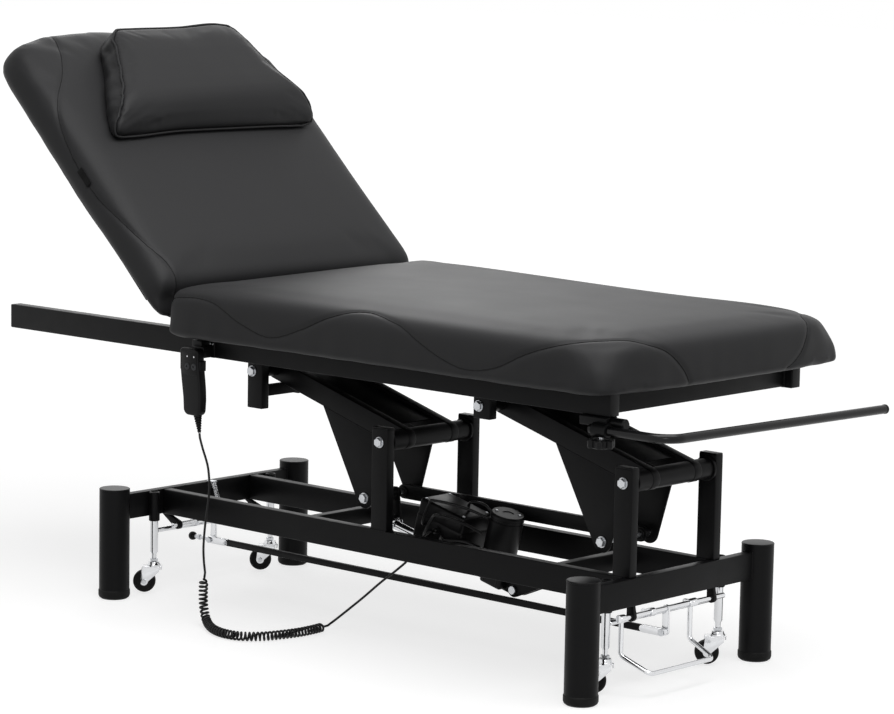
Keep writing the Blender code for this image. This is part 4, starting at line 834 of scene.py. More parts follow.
def cross_members():
    reach = rail_inner_y - fit_gap
    for name, x in (("head", head_member_x), ("foot", foot_member_x)):
        items = cross_tube((x - tube_half, x + tube_half), reach, (member_low, member_top), 0.0012)
        if name == "foot":
            px, pz = actuator_pivot
            face = x - tube_half + 0.001
            heading = atan2((member_low + member_top) / 2 - pz, face - px)
            outline = (arc((px, pz), 0.014, heading + pi / 2, heading + 3 * pi / 2)
                       + [(face, member_low + 0.001), (face, member_top - 0.001)])
            for side in (-1, 1):
                items.append(flat_plate(outline, *on_side(side, 0.0105, 0.0155), "powder"))
            items.append(cross_shaft(px, pz, -0.0185, 0.0185, bolt_radius, "zinc"))
            items.append(cross_shaft(px, pz, -0.0215, -0.0157, 0.008, "zinc"))
        finish_piece(f"{name}_member_tube", items, "root", [f"{name}_cross_member"])


def through_bolt(name, body, node, place, half_span, local=None):
    """A bolt with a washer and hex head at one side, a washer and nut at the other."""
    x, z = place
    face = half_span + 0.0003
    items = [cross_shaft(x, z, -face, face + hex_height + 0.0018, bolt_radius - 0.0002, "zinc")]
    items += hex_head((x, -face, z), (0, -1, 0))
    items += hex_head((x, face, z), (0, 1, 0))
    return finish_piece(name, items, body, [node], local)


# Lifting gear


def lifting_arm(name, body, node, pivot_x, with_drive):
    """Two side tubes with round ends, a recessed cover, webs down to the lever, and pivot tubes."""
    outline = round_bar((0, 0), (-arm_length, 0), arm_half_height)
    items = [flat_plate(outline, -arm_outer_y, -arm_inner_y, "powder", 0.0018, 2),
             flat_plate(outline, arm_inner_y, arm_outer_y, "powder", 0.0018, 2),
             bar((-arm_length + 0.034, -arm_inner_y - 0.001, 0.0118),
                 (-0.034, arm_inner_y + 0.001, 0.0150), "powder", 0.0006)]
    top = -arm_half_height + 0.001
    slope = atan2(lever[1] - top, lever[0] + web_reach)
    web = ([(lever[0] + web_round, top), (-web_reach, top)]
           + arc(lever, web_round, slope - pi / 2, 0, 14))
    for side in (-1, 1):
        faces = on_side(side, web_outer_y, web_outer_y - web_thickness)
        items.append(flat_plate(web, *faces, "powder"))
        y = side * web_outer_y
        items.append(weld_line((-web_reach + 0.004, y, -arm_half_height),
                               (lever[0] + web_round, y, -arm_half_height)))
    reach = rail_inner_y - 0.0008
    items.append(cross_shaft(0, 0, -reach, reach, 0.019, "powder", 0.0008, fine_sides))
    items.append(cross_shaft(0, 0, reach - 0.006, reach, 0.023, "powder", 0.0010, fine_sides))
    items.append(cross_shaft(0, 0, -reach, -reach + 0.006, 0.0215, "powder", 0.0010, fine_sides))
    items.append(cross_shaft(-arm_length, 0, -reach, reach, 0.014, "powder", 0.0008, round_sides))
    if with_drive:
        inner = web_outer_y - web_thickness
        items.append(cross_shaft(*lever, -inner, 0.022, 0.012, "powder", 0.0008, round_sides))
        for side in (-1, 1):
            faces = on_side(side, 0.012, 0.017)
            items.append(flat_plate(round_bar(lever, drive_pin, 0.013), *faces, "powder"))
            items += hex_head((drive_pin[0], side * 0.0170, drive_pin[1]), (0, side, 0))
    local = leaning(pivot_x, pivot_z, arm_angle)
    finish_piece(name, items, body, [node], local)
    return local


def link_bar():
    turn = Matrix.Rotation(arm_angle, 4, "Y") @ Vector((lever[0], 0, lever[1]))
    span = foot_post_x - head_post_x
    items = [flat_plate(round_bar((0, 0), (span, 0), link_bar_half_height), *link_bar_y, "powder",
                        0.0010, 2)]
    for x in (0, span):
        items.append(cross_shaft(x, 0, link_bar_y[0] - 0.003, link_bar_y[0] + 0.0005, 0.0110, "powder"))
    local = Matrix.Translation((head_post_x + turn.x, 0, pivot_z + turn.z))
    finish_piece("flat_link_bar", items, "link_bar", ["link_bar"], local)


def drive_frame():
    """The drive's own frame and the distance to the pin that its rod pushes."""
    pin = Matrix.Rotation(arm_angle, 4, "Y") @ Vector((drive_pin[0], 0, drive_pin[1]))
    x, z = actuator_pivot
    rise = pivot_z + pin.z - z
    run = x - head_post_x - pin.x
    return leaning(x, z, atan2(rise, run)), hypot(run, rise)


def drive_casing(local):
    """The gearbox with two ribs, the motor's can on it, the fork of its pivot and the outer tube."""
    items = [bar((-0.076, -0.028, -0.010), (-0.024, 0.028, 0.030), "plastic", 0.0050, 4)]
    for x in (-0.066, -0.034):
        items.append(bar((x - 0.0015, -0.0285, -0.006), (x + 0.0015, 0.0285, 0.026), "plastic", 0.0007))
    can = [(0.0300, 0.008), (0.0320, 0.011), (0.0320, 0.026), (0.0308, 0.0265), (0.0308, 0.0300),
           (0.0322, 0.0305), (0.0322, 0.1130), (0.0312, 0.1140), (0.0312, 0.1165), (0.0325, 0.1175),
           (0.0325, 0.1240), (0.0300, 0.1275), (0.0110, 0.1275), (0.0100, 0.1262), (0.0020, 0.1262)]
    items.append(turned(can, "plastic", (motor_x, 0, 0), count=fine_sides))
    for angle in (radians(35), radians(215)):
        place = (motor_x + 0.022 * cos(angle), 0.022 * sin(angle), 0.1272)
        items.append(screw(place, 0.0030, 0.0012, 0.0024, 0.0018))
    items.append(flat_plate(round_bar((0, 0), (-0.040, 0), 0.013), -0.010, 0.010, "plastic", 0.0015, 2))
    items.append(shaft((-0.070, 0, 0), (-0.216, 0, 0), 0.0145, "plastic", 0.0005, round_sides))
    items.append(shaft((-0.212, 0, 0), (-0.225, 0, 0), 0.0152, "plastic", 0.0014, round_sides))
    finish_piece("drive_casing", items, "actuator", ["actuator_body"], local)


def drive_rod(local, reach):
    """The bright rod and the eye at its end."""
    finish_piece("drive_rod_chrome", [
        shaft((-0.169, 0, 0), (-reach + 0.010, 0, 0), 0.009, "chrome", 0.0006, round_sides),
        cross_shaft(-reach, 0, -0.0117, 0.0117, 0.014, "chrome", 0.0010, round_sides),
    ], "actuator_rod", ["actuator_rod"], local)


def control_box(local):
    """The control box with its lid, screws and gland, and the cables over it."""
    low = Vector(control_box_low)
    high = Vector(control_box_high)
    lid = low.z + 0.060
    items = [bar(low, (high.x, high.y, lid), "plastic", 0.0060, 4),
             bar((low.x + 0.001, low.y + 0.001, lid - 0.008), (high.x - 0.001, high.y - 0.001, high.z),
                 "plastic", 0.0065, 4)]
    for x in (low.x + 0.010, high.x - 0.010):
        for y in (low.y + 0.010, high.y - 0.010):
            items.append(screw((x, y, high.z - 0.0006), 0.0032, 0.0010, 0.0026, 0.0016))
    gland = [(0.0062, 0), (0.0062, 0.0040), (0.0050, 0.0044), (0.0050, 0.0066), (0.0056, 0.0070),
             (0.0052, 0.0096), (0.0030, 0.0120)]
    items.append(turned(gland, "plastic", (gland_x, low.y, low.z + gland_rise), (0, -1, 0),
                        small_sides))
    for start, over, end in (
            ((-0.200, low.y + 0.002, 0.060), (-0.170, -0.088, 0.122), (-0.086, -0.026, 0.112)),
            ((-0.190, low.y + 0.002, 0.040), (-0.150, -0.092, 0.100), (-0.090, -0.030, 0.080)),
            ((-0.150, low.y + 0.002, 0.032), (-0.128, -0.088, 0.060), (-0.094, -0.024, 0.050))):
        first = Vector(start) + Vector((0, -0.012, 0.004))
        middle = Vector(over)
        route = [start, first, first.lerp(middle, 0.6) + Vector((0, -0.004, 0.012)), over,
                 middle.lerp(Vector(end), 0.55) + Vector((0, -0.004, 0.006)), end]
        items.append(bent_tube(smooth_route(route, 0.004), box_cable_radius, "cord"))
    items.append(bent_tube(smooth_route([(-0.140, -0.018, high.z - 0.002), (-0.140, -0.020, 0.120),
                                         (-0.112, -0.016, 0.128), (-0.092, -0.010, 0.118)], 0.004),
                           box_cable_radius, "cord"))
    finish_piece("control_box_and_wiring", items, "actuator", ["control_box"], local)


def drive():
    local, reach = drive_frame()
    drive_casing(local)
    drive_rod(local, reach)
    control_box(local)


# Upper frame


def top_rails():
    for side, sign in sides:
        near, far = on_side(sign, top_inner_y, top_outer_y)
        items = [bar((top_head_x + 0.0015, near, top_low), (top_foot_x - 0.0015, far, top_high),
                     "powder")]
        for x in (top_head_x, top_foot_x - 0.004):
            items.append(bar((x, near + 0.0008, top_low + 0.0008),
                             (x + 0.004, far - 0.0008, top_high - 0.0008), "plastic", 0.0012))
        finish_piece(f"{side}_frame_rail", items, "upper_frame", [f"{side}_top_rail"])
    beam_foot = top_foot_x - 0.017
    reach = top_inner_y - fit_gap
    items = cross_tube((beam_foot - 0.025, beam_foot), reach, (cross_tube_low, top_high - 0.002), 0.0012)
    finish_piece("foot_frame_beam", items, "upper_frame", ["foot_top_beam"])


def bracket(pivot_x, tube_x, drop):
    """A cross tube with two stubs and the axle of an arm."""
    reach = top_inner_y - fit_gap
    items = [bar((tube_x[0], -reach, cross_tube_low), (tube_x[1], reach, cross_tube_top), "powder")]
    face = pivot_x - stub_lead
    for side in (-1, 1):
        near, far = on_side(side, rail_inner_y, rail_outer_y)
        low = upper_pivot_z - drop
        items.append(bar((face, near, low), (face + stub_width, far, cross_tube_low + 0.001), "powder"))
        items.append(weld_ring(section_ring((face, face + stub_width), (near, far), cross_tube_low)))
        items += hex_head((pivot_x, side * (rail_outer_y + 0.0001), upper_pivot_z), (0, side, 0))
    items.append(cross_shaft(pivot_x, upper_pivot_z, -rail_inner_y, rail_inner_y, bolt_radius, "zinc"))
    return items


def frame_brackets():
    face = upper_pivot_x - stub_lead
    right = face + stub_width
    items = bracket(upper_pivot_x, (right - 0.050, right), head_stub_drop)
    plate_x = face + 0.0155
    plate_low = upper_pivot_z - head_stub_drop + 0.0205
    items.append(bar((plate_x, -rail_inner_y, plate_low),
                     (plate_x + 0.006, rail_inner_y, plate_low + 0.023), "powder", 0.0010))
    for side in (-1, 1):
        faces = on_side(side, *strut_ear)
        outline = round_bar((plate_x + 0.003, strut_base[1]), strut_base, strut_lug_radius)
        items.append(flat_plate(outline, *faces, "powder"))
        ear = on_side(side, hinge_y, hinge_y + 0.005)
        outline = round_bar((hinge[0], cross_tube_top - 0.001), hinge, hinge_radius)
        items.append(flat_plate(outline, *ear, "powder"))
        pin = on_side(side, hinge_y, hinge_y + 0.012)
        items.append(cross_shaft(*hinge, *pin, 0.004, "zinc"))
    items.append(cross_shaft(*strut_base, -0.0125, 0.0125, 0.004, "zinc"))
    finish_piece("head_bracket_tubes", items, "upper_frame", ["head_frame_bracket"])
    pivot_x = foot_post_x + upper_pivot_x
    face = pivot_x - stub_lead
    items = bracket(pivot_x, (face, face + stub_width), foot_stub_drop)
    finish_piece("foot_bracket_tubes", items, "upper_frame", ["foot_frame_bracket"])


def boards():
    """The boards under the cushions; the backrest's carries its hinge arms and the strut's lug."""
    items = [bar((bed_head_x + board_inset, -board_half_width, pad_bottom),
                 (bed_foot_x - board_inset, board_half_width, pad_bottom + board_thickness),
                 "board", 0.0010)]
    finish_piece("bed_plywood", items, "upper_frame", ["bed_board"])
    low = -pad_below_hinge
    left = -fold_gap - back_length + board_inset
    items = [bar((left, -board_half_width, low), (-fold_gap - board_inset, board_half_width,
                                                 low + board_thickness), "board", 0.0010)]
    arm_top = low - 0.0003
    arm_low = arm_top - 0.006
    for side in (-1, 1):
        start = hinge_y + 0.0055
        faces = on_side(side, start, start + 0.005)
        outline = (arc((0, 0), hinge_radius, pi, 0)
                   + [(hinge_radius, arm_low), (-0.085, arm_low), (-0.085, low + 0.001),
                      (-0.057, low + 0.001), (-0.057, arm_top), (-hinge_radius, arm_top)])
        items.append(flat_plate(outline, *faces, "powder", 0.0005))
        lug = on_side(side, *strut_ear)
        outline = round_bar((strut_lug[0], low), strut_lug, strut_lug_radius)
        items.append(flat_plate(outline, *lug, "powder"))
    items.append(bar((strut_lug[0] - 0.030, -0.028, low - 0.0030),
                     (strut_lug[0] + 0.030, 0.028, low + 0.0005), "powder", 0.0010))
    for x in (-0.022, 0.022):
        for y in (-0.020, 0.020):
            items.append(turned([(0.0035, 0), (0.0034, 0.0008), (0.0022, 0.0016)], "zinc",
                                (strut_lug[0] + x, y, low - 0.0028), (0, 0, -1), screw_sides))
    finish_piece("backrest_plywood_and_hinges", items, "backrest", ["backrest_board"],
                 leaning(*hinge, back_angle))


def gas_strut():
    """The strut's tube, its neck and eye, and the bright rod."""
    top = leaning(*hinge, back_angle) @ Vector((strut_lug[0], 0, strut_lug[1]))
    rise = top.z - strut_base[1]
    run = strut_base[0] - top.x
    local = leaning(*strut_base, atan2(rise, run))
    reach = hypot(rise, run)
    finish_piece("strut_cylinder", [
        shaft((-0.012, 0, 0), (-0.270, 0, 0), 0.011, "powder", 0.0014, round_sides),
        shaft((-0.004, 0, 0), (-0.014, 0, 0), 0.0055, "powder"),
        cross_shaft(0, 0, -0.006, 0.006, 0.010, "powder", 0.0008, round_sides),
    ], "strut_tube", ["strut_tube"], local)
    finish_piece("strut_piston_rod", [
        shaft((-0.205, 0, 0), (-reach, 0, 0), 0.005, "chrome"),
        cross_shaft(-reach, 0, -0.006, 0.006, 0.009, "chrome", 0.0008, round_sides),
    ], "strut_rod", ["strut_rod"], local)


# Casters and pedal


def caster_stem(end, side, x, y):
    """A chrome stem with the nut under it."""
    stem = turned([(0.0046, 0.0650), (0.0050, 0.0655), (0.0050, 0.0790), (0.0080, 0.0840),
                   (0.0080, 0.2030), (0.0072, 0.2040)], "chrome", (x, y, 0), count=round_sides)
    nut = turned([(0.0080, 0.0655), (0.0080, 0.0700), (0.0070, 0.0705)], "zinc", (x, y, 0),
                 count=hex_sides)
    finish_piece(f"{end}_{side}_caster_stem", [stem, nut], f"{end}_casters",
                 [f"caster_leg_{end}_{side}"])


def caster_fork(end, side, local):
    """A pressed fork with its swivel cup, brake tab and axle nuts."""
    low = fork_top
    back = -fork_trail - 0.0042
    items = [turned([(0.0135, low + 0.002), (0.0135, 0.0580), (0.0118, 0.0600), (0.0110, 0.0640),
                     (0.0060, 0.0644)], "chrome", count=round_sides),
             bar((-fork_outer, back, low), (fork_outer, 0.0110, low + 0.0028), "chrome", 0.0010),
             bar((-0.0060, 0.0050, low + 0.0006), (0.0060, 0.0160, low + 0.0030), "chrome", 0.0010),
             bar((-0.0060, 0.0137, low - 0.0050), (0.0060, 0.0160, low + 0.0030), "chrome", 0.0009)]
    cheek = ([(0.0110, low + 0.0015), (back, low + 0.0015)]
             + arc((-fork_trail, wheel_z), 0.008, pi, 2 * pi) + [(0.0110, low - 0.0080)])
    quarter = Matrix.Rotation(pi / 2, 4, "Z")
    for side_sign in (-1, 1):
        faces = on_side(side_sign, fork_inner, fork_outer)
        items.append(place_by(flat_plate(cheek, *faces, "chrome", 0.0004), quarter))
        nut_place = (side_sign * fork_outer, -fork_trail, wheel_z)
        items.append(turned([(0.0050, 0), (0.0050, 0.0022), (0.0042, 0.0028)], "zinc", nut_place,
                            (side_sign, 0, 0), hex_sides))
    items.append(shaft((-fork_outer, -fork_trail, wheel_z), (fork_outer, -fork_trail, wheel_z), 0.003,
                       "zinc"))
    finish_piece(f"{end}_{side}_fork_pressing", items, f"caster_fork_{end}_{side}",
                 [f"caster_fork_{end}_{side}"], local)


def caster_wheel(end, side, local):
    """A rubber tyre on a plastic hub."""
    half = wheel_half
    tyre = [(0.0150, -half + 0.0010), (0.0185, -half + 0.0002), (0.0212, -half + 0.0014),
            (0.0222, -half + 0.0038), (0.0225, 0), (0.0222, half - 0.0038), (0.0212, half - 0.0014),
            (0.0185, half - 0.0002), (0.0150, half - 0.0010)]
    hub = [(0.0040, -half + 0.0016), (0.0070, -half + 0.0004), (0.0080, -half + 0.0024),
           (0.0135, -half + 0.0026), (0.0152, -half + 0.0004), (0.0152, half - 0.0004),
           (0.0135, half - 0.0026), (0.0080, half - 0.0024), (0.0070, half - 0.0004),
           (0.0040, half - 0.0016)]
    axle = (0, -fork_trail, wheel_z)
    finish_piece(f"{end}_{side}_caster_tyre",
                 [turned(tyre, "rubber", axle, (1, 0, 0), round_sides),
                  turned(hub, "plastic", axle, (1, 0, 0), round_sides)],
                 f"caster_wheel_{end}_{side}", [f"caster_wheel_{end}_{side}"], local)


def caster(end, side, x, y):
    caster_stem(end, side, x, y)
    local = Matrix.Translation((x, y, 0)) @ Matrix.Rotation(fork_rest_turn, 4, "Z")
    caster_fork(end, side, local)
    caster_wheel(end, side, local)


def crank_parts():
    """The crank that hangs from a shaft, and its pin through the link rod."""
    y = crank_y + 0.0005
    return [flat_plate(round_bar((0, 0), (0, -crank_drop), 0.007), y, y + 0.005, "chrome"),
            cross_shaft(0, -crank_drop, crank_y - 0.011, y + 0.001, 0.004, "chrome"),
            cross_shaft(0, -crank_drop, crank_y - 0.0135, crank_y - 0.0105, 0.0065, "zinc", 0.0005,
                        hex_sides)]


def pedal_and_shafts():
    """The pedal shaft with its bail, the head shaft, their cams, and the bars that they press."""
    for name, body, x, half in (("pedal_shaft_and_bail", "pedal_shaft", leg_x, 0.150),
                                ("head_shaft_chrome", "head_caster_shaft", head_shaft_x, 0.130)):
        items = [cross_shaft(0, 0, -half, half, shaft_radius, "chrome")] + crank_parts()
        for side in (-1, 1):
            y = side * 0.060
            items.append(flat_plate(round_bar((0, 0), (-0.0180, 0), 0.0040), y - 0.003, y + 0.003,
                                    "chrome"))
            items.append(cross_shaft(0, 0, y - 0.006, y + 0.006, 0.0078, "chrome"))
        if body == "pedal_shaft":
            knee = 0.070 - shaft_z
            out = 0.060
            floor_gap = 0.0445 - shaft_z
            near, far = bail_sleeves
            corners = [(0, near, 0), (0, near, knee), (out, -0.134, floor_gap),
                       (out, 0.045, floor_gap), (0, far, knee), (0, far, 0)]
            items.append(bent_tube(rounded_path(corners, 0.012), 0.0045, "chrome"))
            for y in bail_sleeves:
                items.append(cross_shaft(0, 0, y - 0.007, y + 0.007, 0.0075, "chrome"))
        finish_piece(name, items, body, [body], Matrix.Translation((x, 0, shaft_z)))
    reach = caster_y - 0.0083
    for end, sign in ends:
        finish_piece(f"{end}_lifting_bar", [cross_shaft(sign * caster_x, caster_bar_z, -reach, reach,
                                                        0.005, "chrome")],
                     f"{end}_casters", [f"{end}_caster_bar"])


def link_rod():
    """The black flat rod between the cranks, with a bright clevis at each end."""
    span = leg_x - head_shaft_x
    inner = crank_y - 0.0002
    outer = crank_y - 0.0098
    items = [flat_plate(round_bar((-span + 0.030, 0), (-0.030, 0), 0.0062), outer + 0.001, inner - 0.001,
                        "powder", 0.0010)]
    for start, end in ((-span, -span + 0.044), (-0.044, 0)):
        items.append(flat_plate(round_bar((start, 0), (end, 0), 0.0070), outer, inner, "chrome", 0.0008))
    middle = (inner + outer) / 2
    items.append(shaft((-span - 0.004, middle, 0), (-span - 0.046, middle, 0), 0.0035, "zinc"))
    items.append(shaft((-span - 0.030, middle, 0), (-span - 0.037, middle, 0), 0.0060, "zinc", 0.0008,
                       hex_sides))
    ball = [(0.0088 * sin(pi * (step + 1) / 14), -0.0088 * cos(pi * (step + 1) / 14))
            for step in range(13)]
    items.append(turned(ball, "plastic", (-span - 0.053, middle, 0), (-1, 0, 0), small_sides))
    finish_piece("link_rod_and_clevises", items, "caster_link_rod", ["caster_link_rod"],
                 Matrix.Translation((leg_x, 0, shaft_z - crank_drop)))


def return_spring():
    """The coil spring between a hook on the head beam's top and an eye under it."""
    hook_x = -0.583
    coil_radius = 0.0045
    turns, per_turn = 9, 12
    start = Vector((hook_x, 0.0, rail_top + 0.0020))
    end = Vector((hook_x, 0.014, 0.168))
    heading = (end - start).normalized()
    across = heading.cross(Vector((1, 0, 0))).normalized()
    over = heading.cross(across)
    coil = []
    for step in range(turns * per_turn + 1):
        angle = 2 * pi * step / per_turn
        middle = start.lerp(end, 0.06 + 0.88 * step / (turns * per_turn))
        coil.append(middle + across * coil_radius * cos(angle) + over * coil_radius * sin(angle))
    ring_start = start + across * coil_radius
    ring_end = end + across * coil_radius
    items = [bent_tube([ring_start] + coil + [ring_end], 0.0009, "chrome", roundness=2),
             bar((-beam_inner_x - 0.004, -0.006, rail_top - 0.001),
                 (-0.5760, 0.006, rail_top + 0.0022), "zinc", 0.0006)]
    finish_piece("head_return_spring", items, "root")


# Roll bar


def roll_bar():
    """The clamp under the rail, its peg, the lobed knob and the bent bar."""
    low = top_low - 0.0003
    items = [bar((0.605, roll_bar_y + 0.004, roll_bar_z + 0.004), (0.664, -top_inner_y, low), "powder",
                 0.0025),
             shaft((0.642, roll_bar_y, roll_bar_z), (0.674, roll_bar_y, roll_bar_z), 0.0127, "powder",
                   0.0008, round_sides),
             shaft((0.662, clamp_peg_y, low - 0.0105), (0.695, clamp_peg_y, low - 0.0105), 0.0105,
                   "plastic", 0.0025, round_sides)]
    for x in (0.612, 0.628):
        items.append(screw((x, clamp_peg_y, roll_bar_z + 0.0042), 0.0034, 0.0012, 0.0026, 0.0020,
                           (0, 0, -1)))
    finish_piece("roll_bar_holder", items, "upper_frame", ["roll_bar_clamp"])
    end_x = top_foot_x + 0.1343
    corners = [(top_foot_x - 0.033, roll_bar_y, roll_bar_z), (end_x, roll_bar_y, roll_bar_z),
               (end_x, 0.348, roll_bar_z - 0.011)]
    path = rounded_path(corners, 0.040, 14)
    tip = Vector(path[-1])
    heading = (tip - Vector(path[-2])).normalized()
    items = [bent_tube(path, roll_bar_radius, "enamel", roundness=8),
             turned([(0.0088, 0), (0.0088, 0.0030), (0.0072, 0.0045)], "plastic",
                    tip - heading * 0.0022, heading, round_sides)]
    finish_piece("roll_bar_tube", items, "roll_bar", ["roll_bar"])
    top = roll_bar_z - 0.015
    wide = 0.0180
    lobes = 6
    items = [turned([(0.0155, -0.016), (wide, -0.0140), (wide, -0.0020), (0.0160, 0)], "plastic",
                    (knob_x, roll_bar_y, top), count=fine_sides),
             shaft((knob_x, roll_bar_y, top - 0.001), (knob_x, roll_bar_y, roll_bar_z - 0.0085), 0.004,
                   "zinc")]
    for lobe in range(lobes):
        angle = 2 * pi * lobe / lobes
        place = (knob_x + wide * cos(angle), roll_bar_y + wide * sin(angle), top)
        items.append(turned([(0.0054, -0.0150), (0.0066, -0.0135), (0.0066, -0.0025), (0.0054, -0.0010)],
                            "plastic", place, count=small_sides))
    finish_piece("lobed_knob", items, "roll_bar_knob", ["roll_bar_knob"])


# Handset and cord


def handset_clip():
    """The clip that hangs the handset on the near rail."""
    rail = -top_outer_y - 0.0003
    items = []
    for (left, front, low), (right, back, high), edge in (
            ((0.002, 0.0035, 0.5125), (0.0195, 0, 0.5458), 0.0008),
            ((-0.0195, 0.0255, 0.5330), (0.0060, 0.0010, 0.5458), 0.0020),
            ((-0.0120, 0.0255, 0.5130), (0.0120, 0.0020, 0.5345), 0.0015)):
        items.append(bar((handset_x + left, rail - front, low), (handset_x + right, rail - back, high),
                         "plastic", edge))
    for x in (0.0075, 0.0145):
        items.append(screw((handset_x + x, rail - 0.0033, 0.5390), 0.0022, 0.0008, 0.0017, 0.0013,
                           (0, -1, 0)))
    finish_piece("handset_holder", items, "upper_frame", ["handset_clip"])


def handset_shell(front):
    """The tapered shell with its raised panel, lamps and jaws, and the ribbed relief collar."""
    outline = (arc((handset_x + 0.0100, handset_top - 0.0070), 0.0070, 0, pi / 2)
               + arc((handset_x - 0.0245, handset_top - 0.0070), 0.0070, pi / 2, pi)
               + [(handset_x + x, z) for x, z in ((-0.0305, 0.4960), (-0.0280, 0.4760),
                                                  (-0.0250, 0.4560), (-0.0222, 0.4380))]
               + arc((handset_x - 0.0080, handset_low + 0.0120), 0.0130, pi, 3 * pi / 2)
               + arc((handset_x + 0.0120, handset_low + 0.0110), 0.0120, 3 * pi / 2, 2 * pi)
               + [(handset_x + x, z) for x, z in ((0.0252, 0.4350), (0.0244, 0.4550), (0.0222, 0.4740),
                                                  (0.0196, 0.4920), (0.0178, 0.5080))])
    items = [flat_plate(outline, front, handset_back_y, "plastic", 0.0045, 4)]
    panel = []
    for quarter, (x, z) in enumerate(((0.0105, 0.0110), (-0.0210, 0.0110),
                                      (-0.0190, 0.0460), (0.0130, 0.0460))):
        panel += arc((handset_x + x, handset_top - z), 0.004, quarter * pi / 2, (quarter + 1) * pi / 2, 6)
    items.append(flat_plate(panel, front - 0.0004, front + 0.0010, "plastic", 0.0003))
    for x in (-key_x, key_x):
        items.append(turned([(0.0015, 0), (0.0014, 0.0005), (0.0006, 0.0008)], "chrome",
                            (handset_x + x, front - 0.0004, handset_top - 0.0150), (0, -1, 0),
                            screw_sides))
    for left, right in ((-0.0335, -0.0275), (0.0150, 0.0215)):
        items.append(bar((handset_x + left, front + 0.0040, 0.4900),
                         (handset_x + right, handset_back_y, 0.5100), "plastic", 0.0015))
    collar = [(0.0080, -0.002), (0.0078, 0.0030)]
    for ring in range(6):
        depth = 0.0040 + 0.0046 * ring
        wide = 0.0072 - 0.00068 * ring
        collar += [(wide - 0.0009, depth), (wide, depth + 0.0008), (wide, depth + 0.0030),
                   (wide - 0.0009, depth + 0.0037)]
    collar += [(0.0032, 0.0325)]
    heading = Vector(relief_tip) - Vector(relief_root)
    items.append(turned(collar, "plastic", relief_root, heading, small_sides))
    finish_piece("handset_shell", items, "upper_frame", ["handset"])


def handset():
    """The handset in its clip, and its two keys with their arrows."""
    front = handset_back_y - handset_thickness
    handset_clip()
    handset_shell(front)
    for name, x in (("up", -key_x), ("down", key_x)):
        z = handset_top - 0.034
        key = [(0.0060, -0.0045), (0.0065, -0.0040), (0.0065, 0.0012), (0.0060, 0.0018),
               (0.0030, 0.0021)]
        arrow = 1 if name == "up" else -1
        mark = [(handset_x + x - 0.0026, z - arrow * 0.0016),
                (handset_x + x + 0.0026, z - arrow * 0.0016), (handset_x + x, z + arrow * 0.0026)]
        items = [turned(key, "button", (handset_x + x, front, z), (0, -1, 0), small_sides),
                 flat_plate(mark[::arrow], front - 0.0024, front - 0.0018, "tag", 0.0001)]
        finish_piece(f"handset_{name}_key", items, f"handset_{name}_button", [f"handset_{name}_button"])


def curl_path(route, points_per_curl):
    """The wire of the curly cord: a helix about a smooth axis, its straight ends on the axis."""
    axis = smooth_route(route, curl_radius)
    reach = [0.0]
    for start, end in zip(axis, axis[1:]):
        reach.append(reach[-1] + (end - start).length)
    run = 2 * cord_radius
    length = reach[-1] - 2 * run
    tangents = [(after - before).normalized() for before, after in
                zip([axis[0]] + axis[:-1], axis[1:] + [axis[-1]])]
    side = tangents[0].orthogonal().normalized()
    across = []
    for tangent in tangents:
        side = (side - tangent * side.dot(tangent)).normalized()
        across.append(side.copy())
    points = [axis[0].copy()]
    total = curl_count * points_per_curl
    index = 0
    for step in range(total + 1):
        along = run + length * step / total
        while index < len(reach) - 2 and reach[index + 1] < along:
            index += 1
        share = (along - reach[index]) / (reach[index + 1] - reach[index])
        tangent = tangents[index].lerp(tangents[index + 1], share).normalized()
        spoke = across[index].lerp(across[index + 1], share)
        spoke = (spoke - tangent * spoke.dot(tangent)).normalized()
        turns = step / points_per_curl
        ramp = min(1.0, turns / curl_ramp_share, (curl_count - turns) / curl_ramp_share)
        angle = 2 * pi * turns
        offset = spoke * cos(angle) + tangent.cross(spoke) * sin(angle)
        points.append(axis[index].lerp(axis[index + 1], share) + offset * curl_radius * ramp)
    points.append(axis[-1].copy())
    return points


def cord_piece(name, points, nodes, body, blend_to=None, roundness=4):
    """A stretch of the cord."""
    item = bent_tube(points, cord_radius, "cord", roundness=roundness)
    item.name = name
    place_by(item, to_frame)
    bpy.ops.object.shade_smooth()
    if blend_to:
        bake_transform(item)
    else:
        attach(item, body)
    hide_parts(*nodes)


def handset_cord():
    """The plain drop, the curly stretch and the lead to the control box."""
    curl = curl_path(curl_route, 24)
    coarse = curl_path(curl_route, 8)
    start = Vector(relief_tip) - Vector((0, 0, 0.0004))
    heading = (coarse[1] - coarse[0]).normalized()
    end = coarse[0] - heading * 0.0003
    lean = (Vector(relief_tip) - Vector(relief_root)).normalized()
    drop = ([start] + smooth_route([start + lean * cord_run] + drop_route
                                   + [end - heading * cord_run], route_spacing) + [end])
    cord_piece("handset_plain_cord", drop, ["handset_cord_drop"], "root", "arm_head")
    cord_piece("handset_curly_cord", curl, ["handset_cord_curl"], "root", roundness=2)
    local, _ = drive_frame()
    end = local @ Vector((gland_x, control_box_low[1] - 0.0123, control_box_low[2] + gland_rise))
    heading = (coarse[-1] - coarse[-2]).normalized()
    start = coarse[-1] + heading * 0.0003
    lead = ([start] + smooth_route([start + heading * cord_run] + lead_route
                                   + [end - Vector((0, cord_run, 0))], route_spacing) + [end])
    cord_piece("control_box_lead", lead, ["handset_cord_lead"], "root", "actuator")


# Upholstery


def copy_of_node(node, name):
    """A merged copy of a CAD node's mesh."""
    item = bpy.data.objects.new(name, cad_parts[node].data.copy())
    bpy.context.scene.collection.objects.link(item)
    edit(item)
    bpy.ops.mesh.remove_doubles(threshold=weld_distance)
    bpy.ops.object.mode_set(mode="OBJECT")
    return item


def apply_modifier(item, name):
    pick(item)
    bpy.ops.object.modifier_apply(modifier=name)


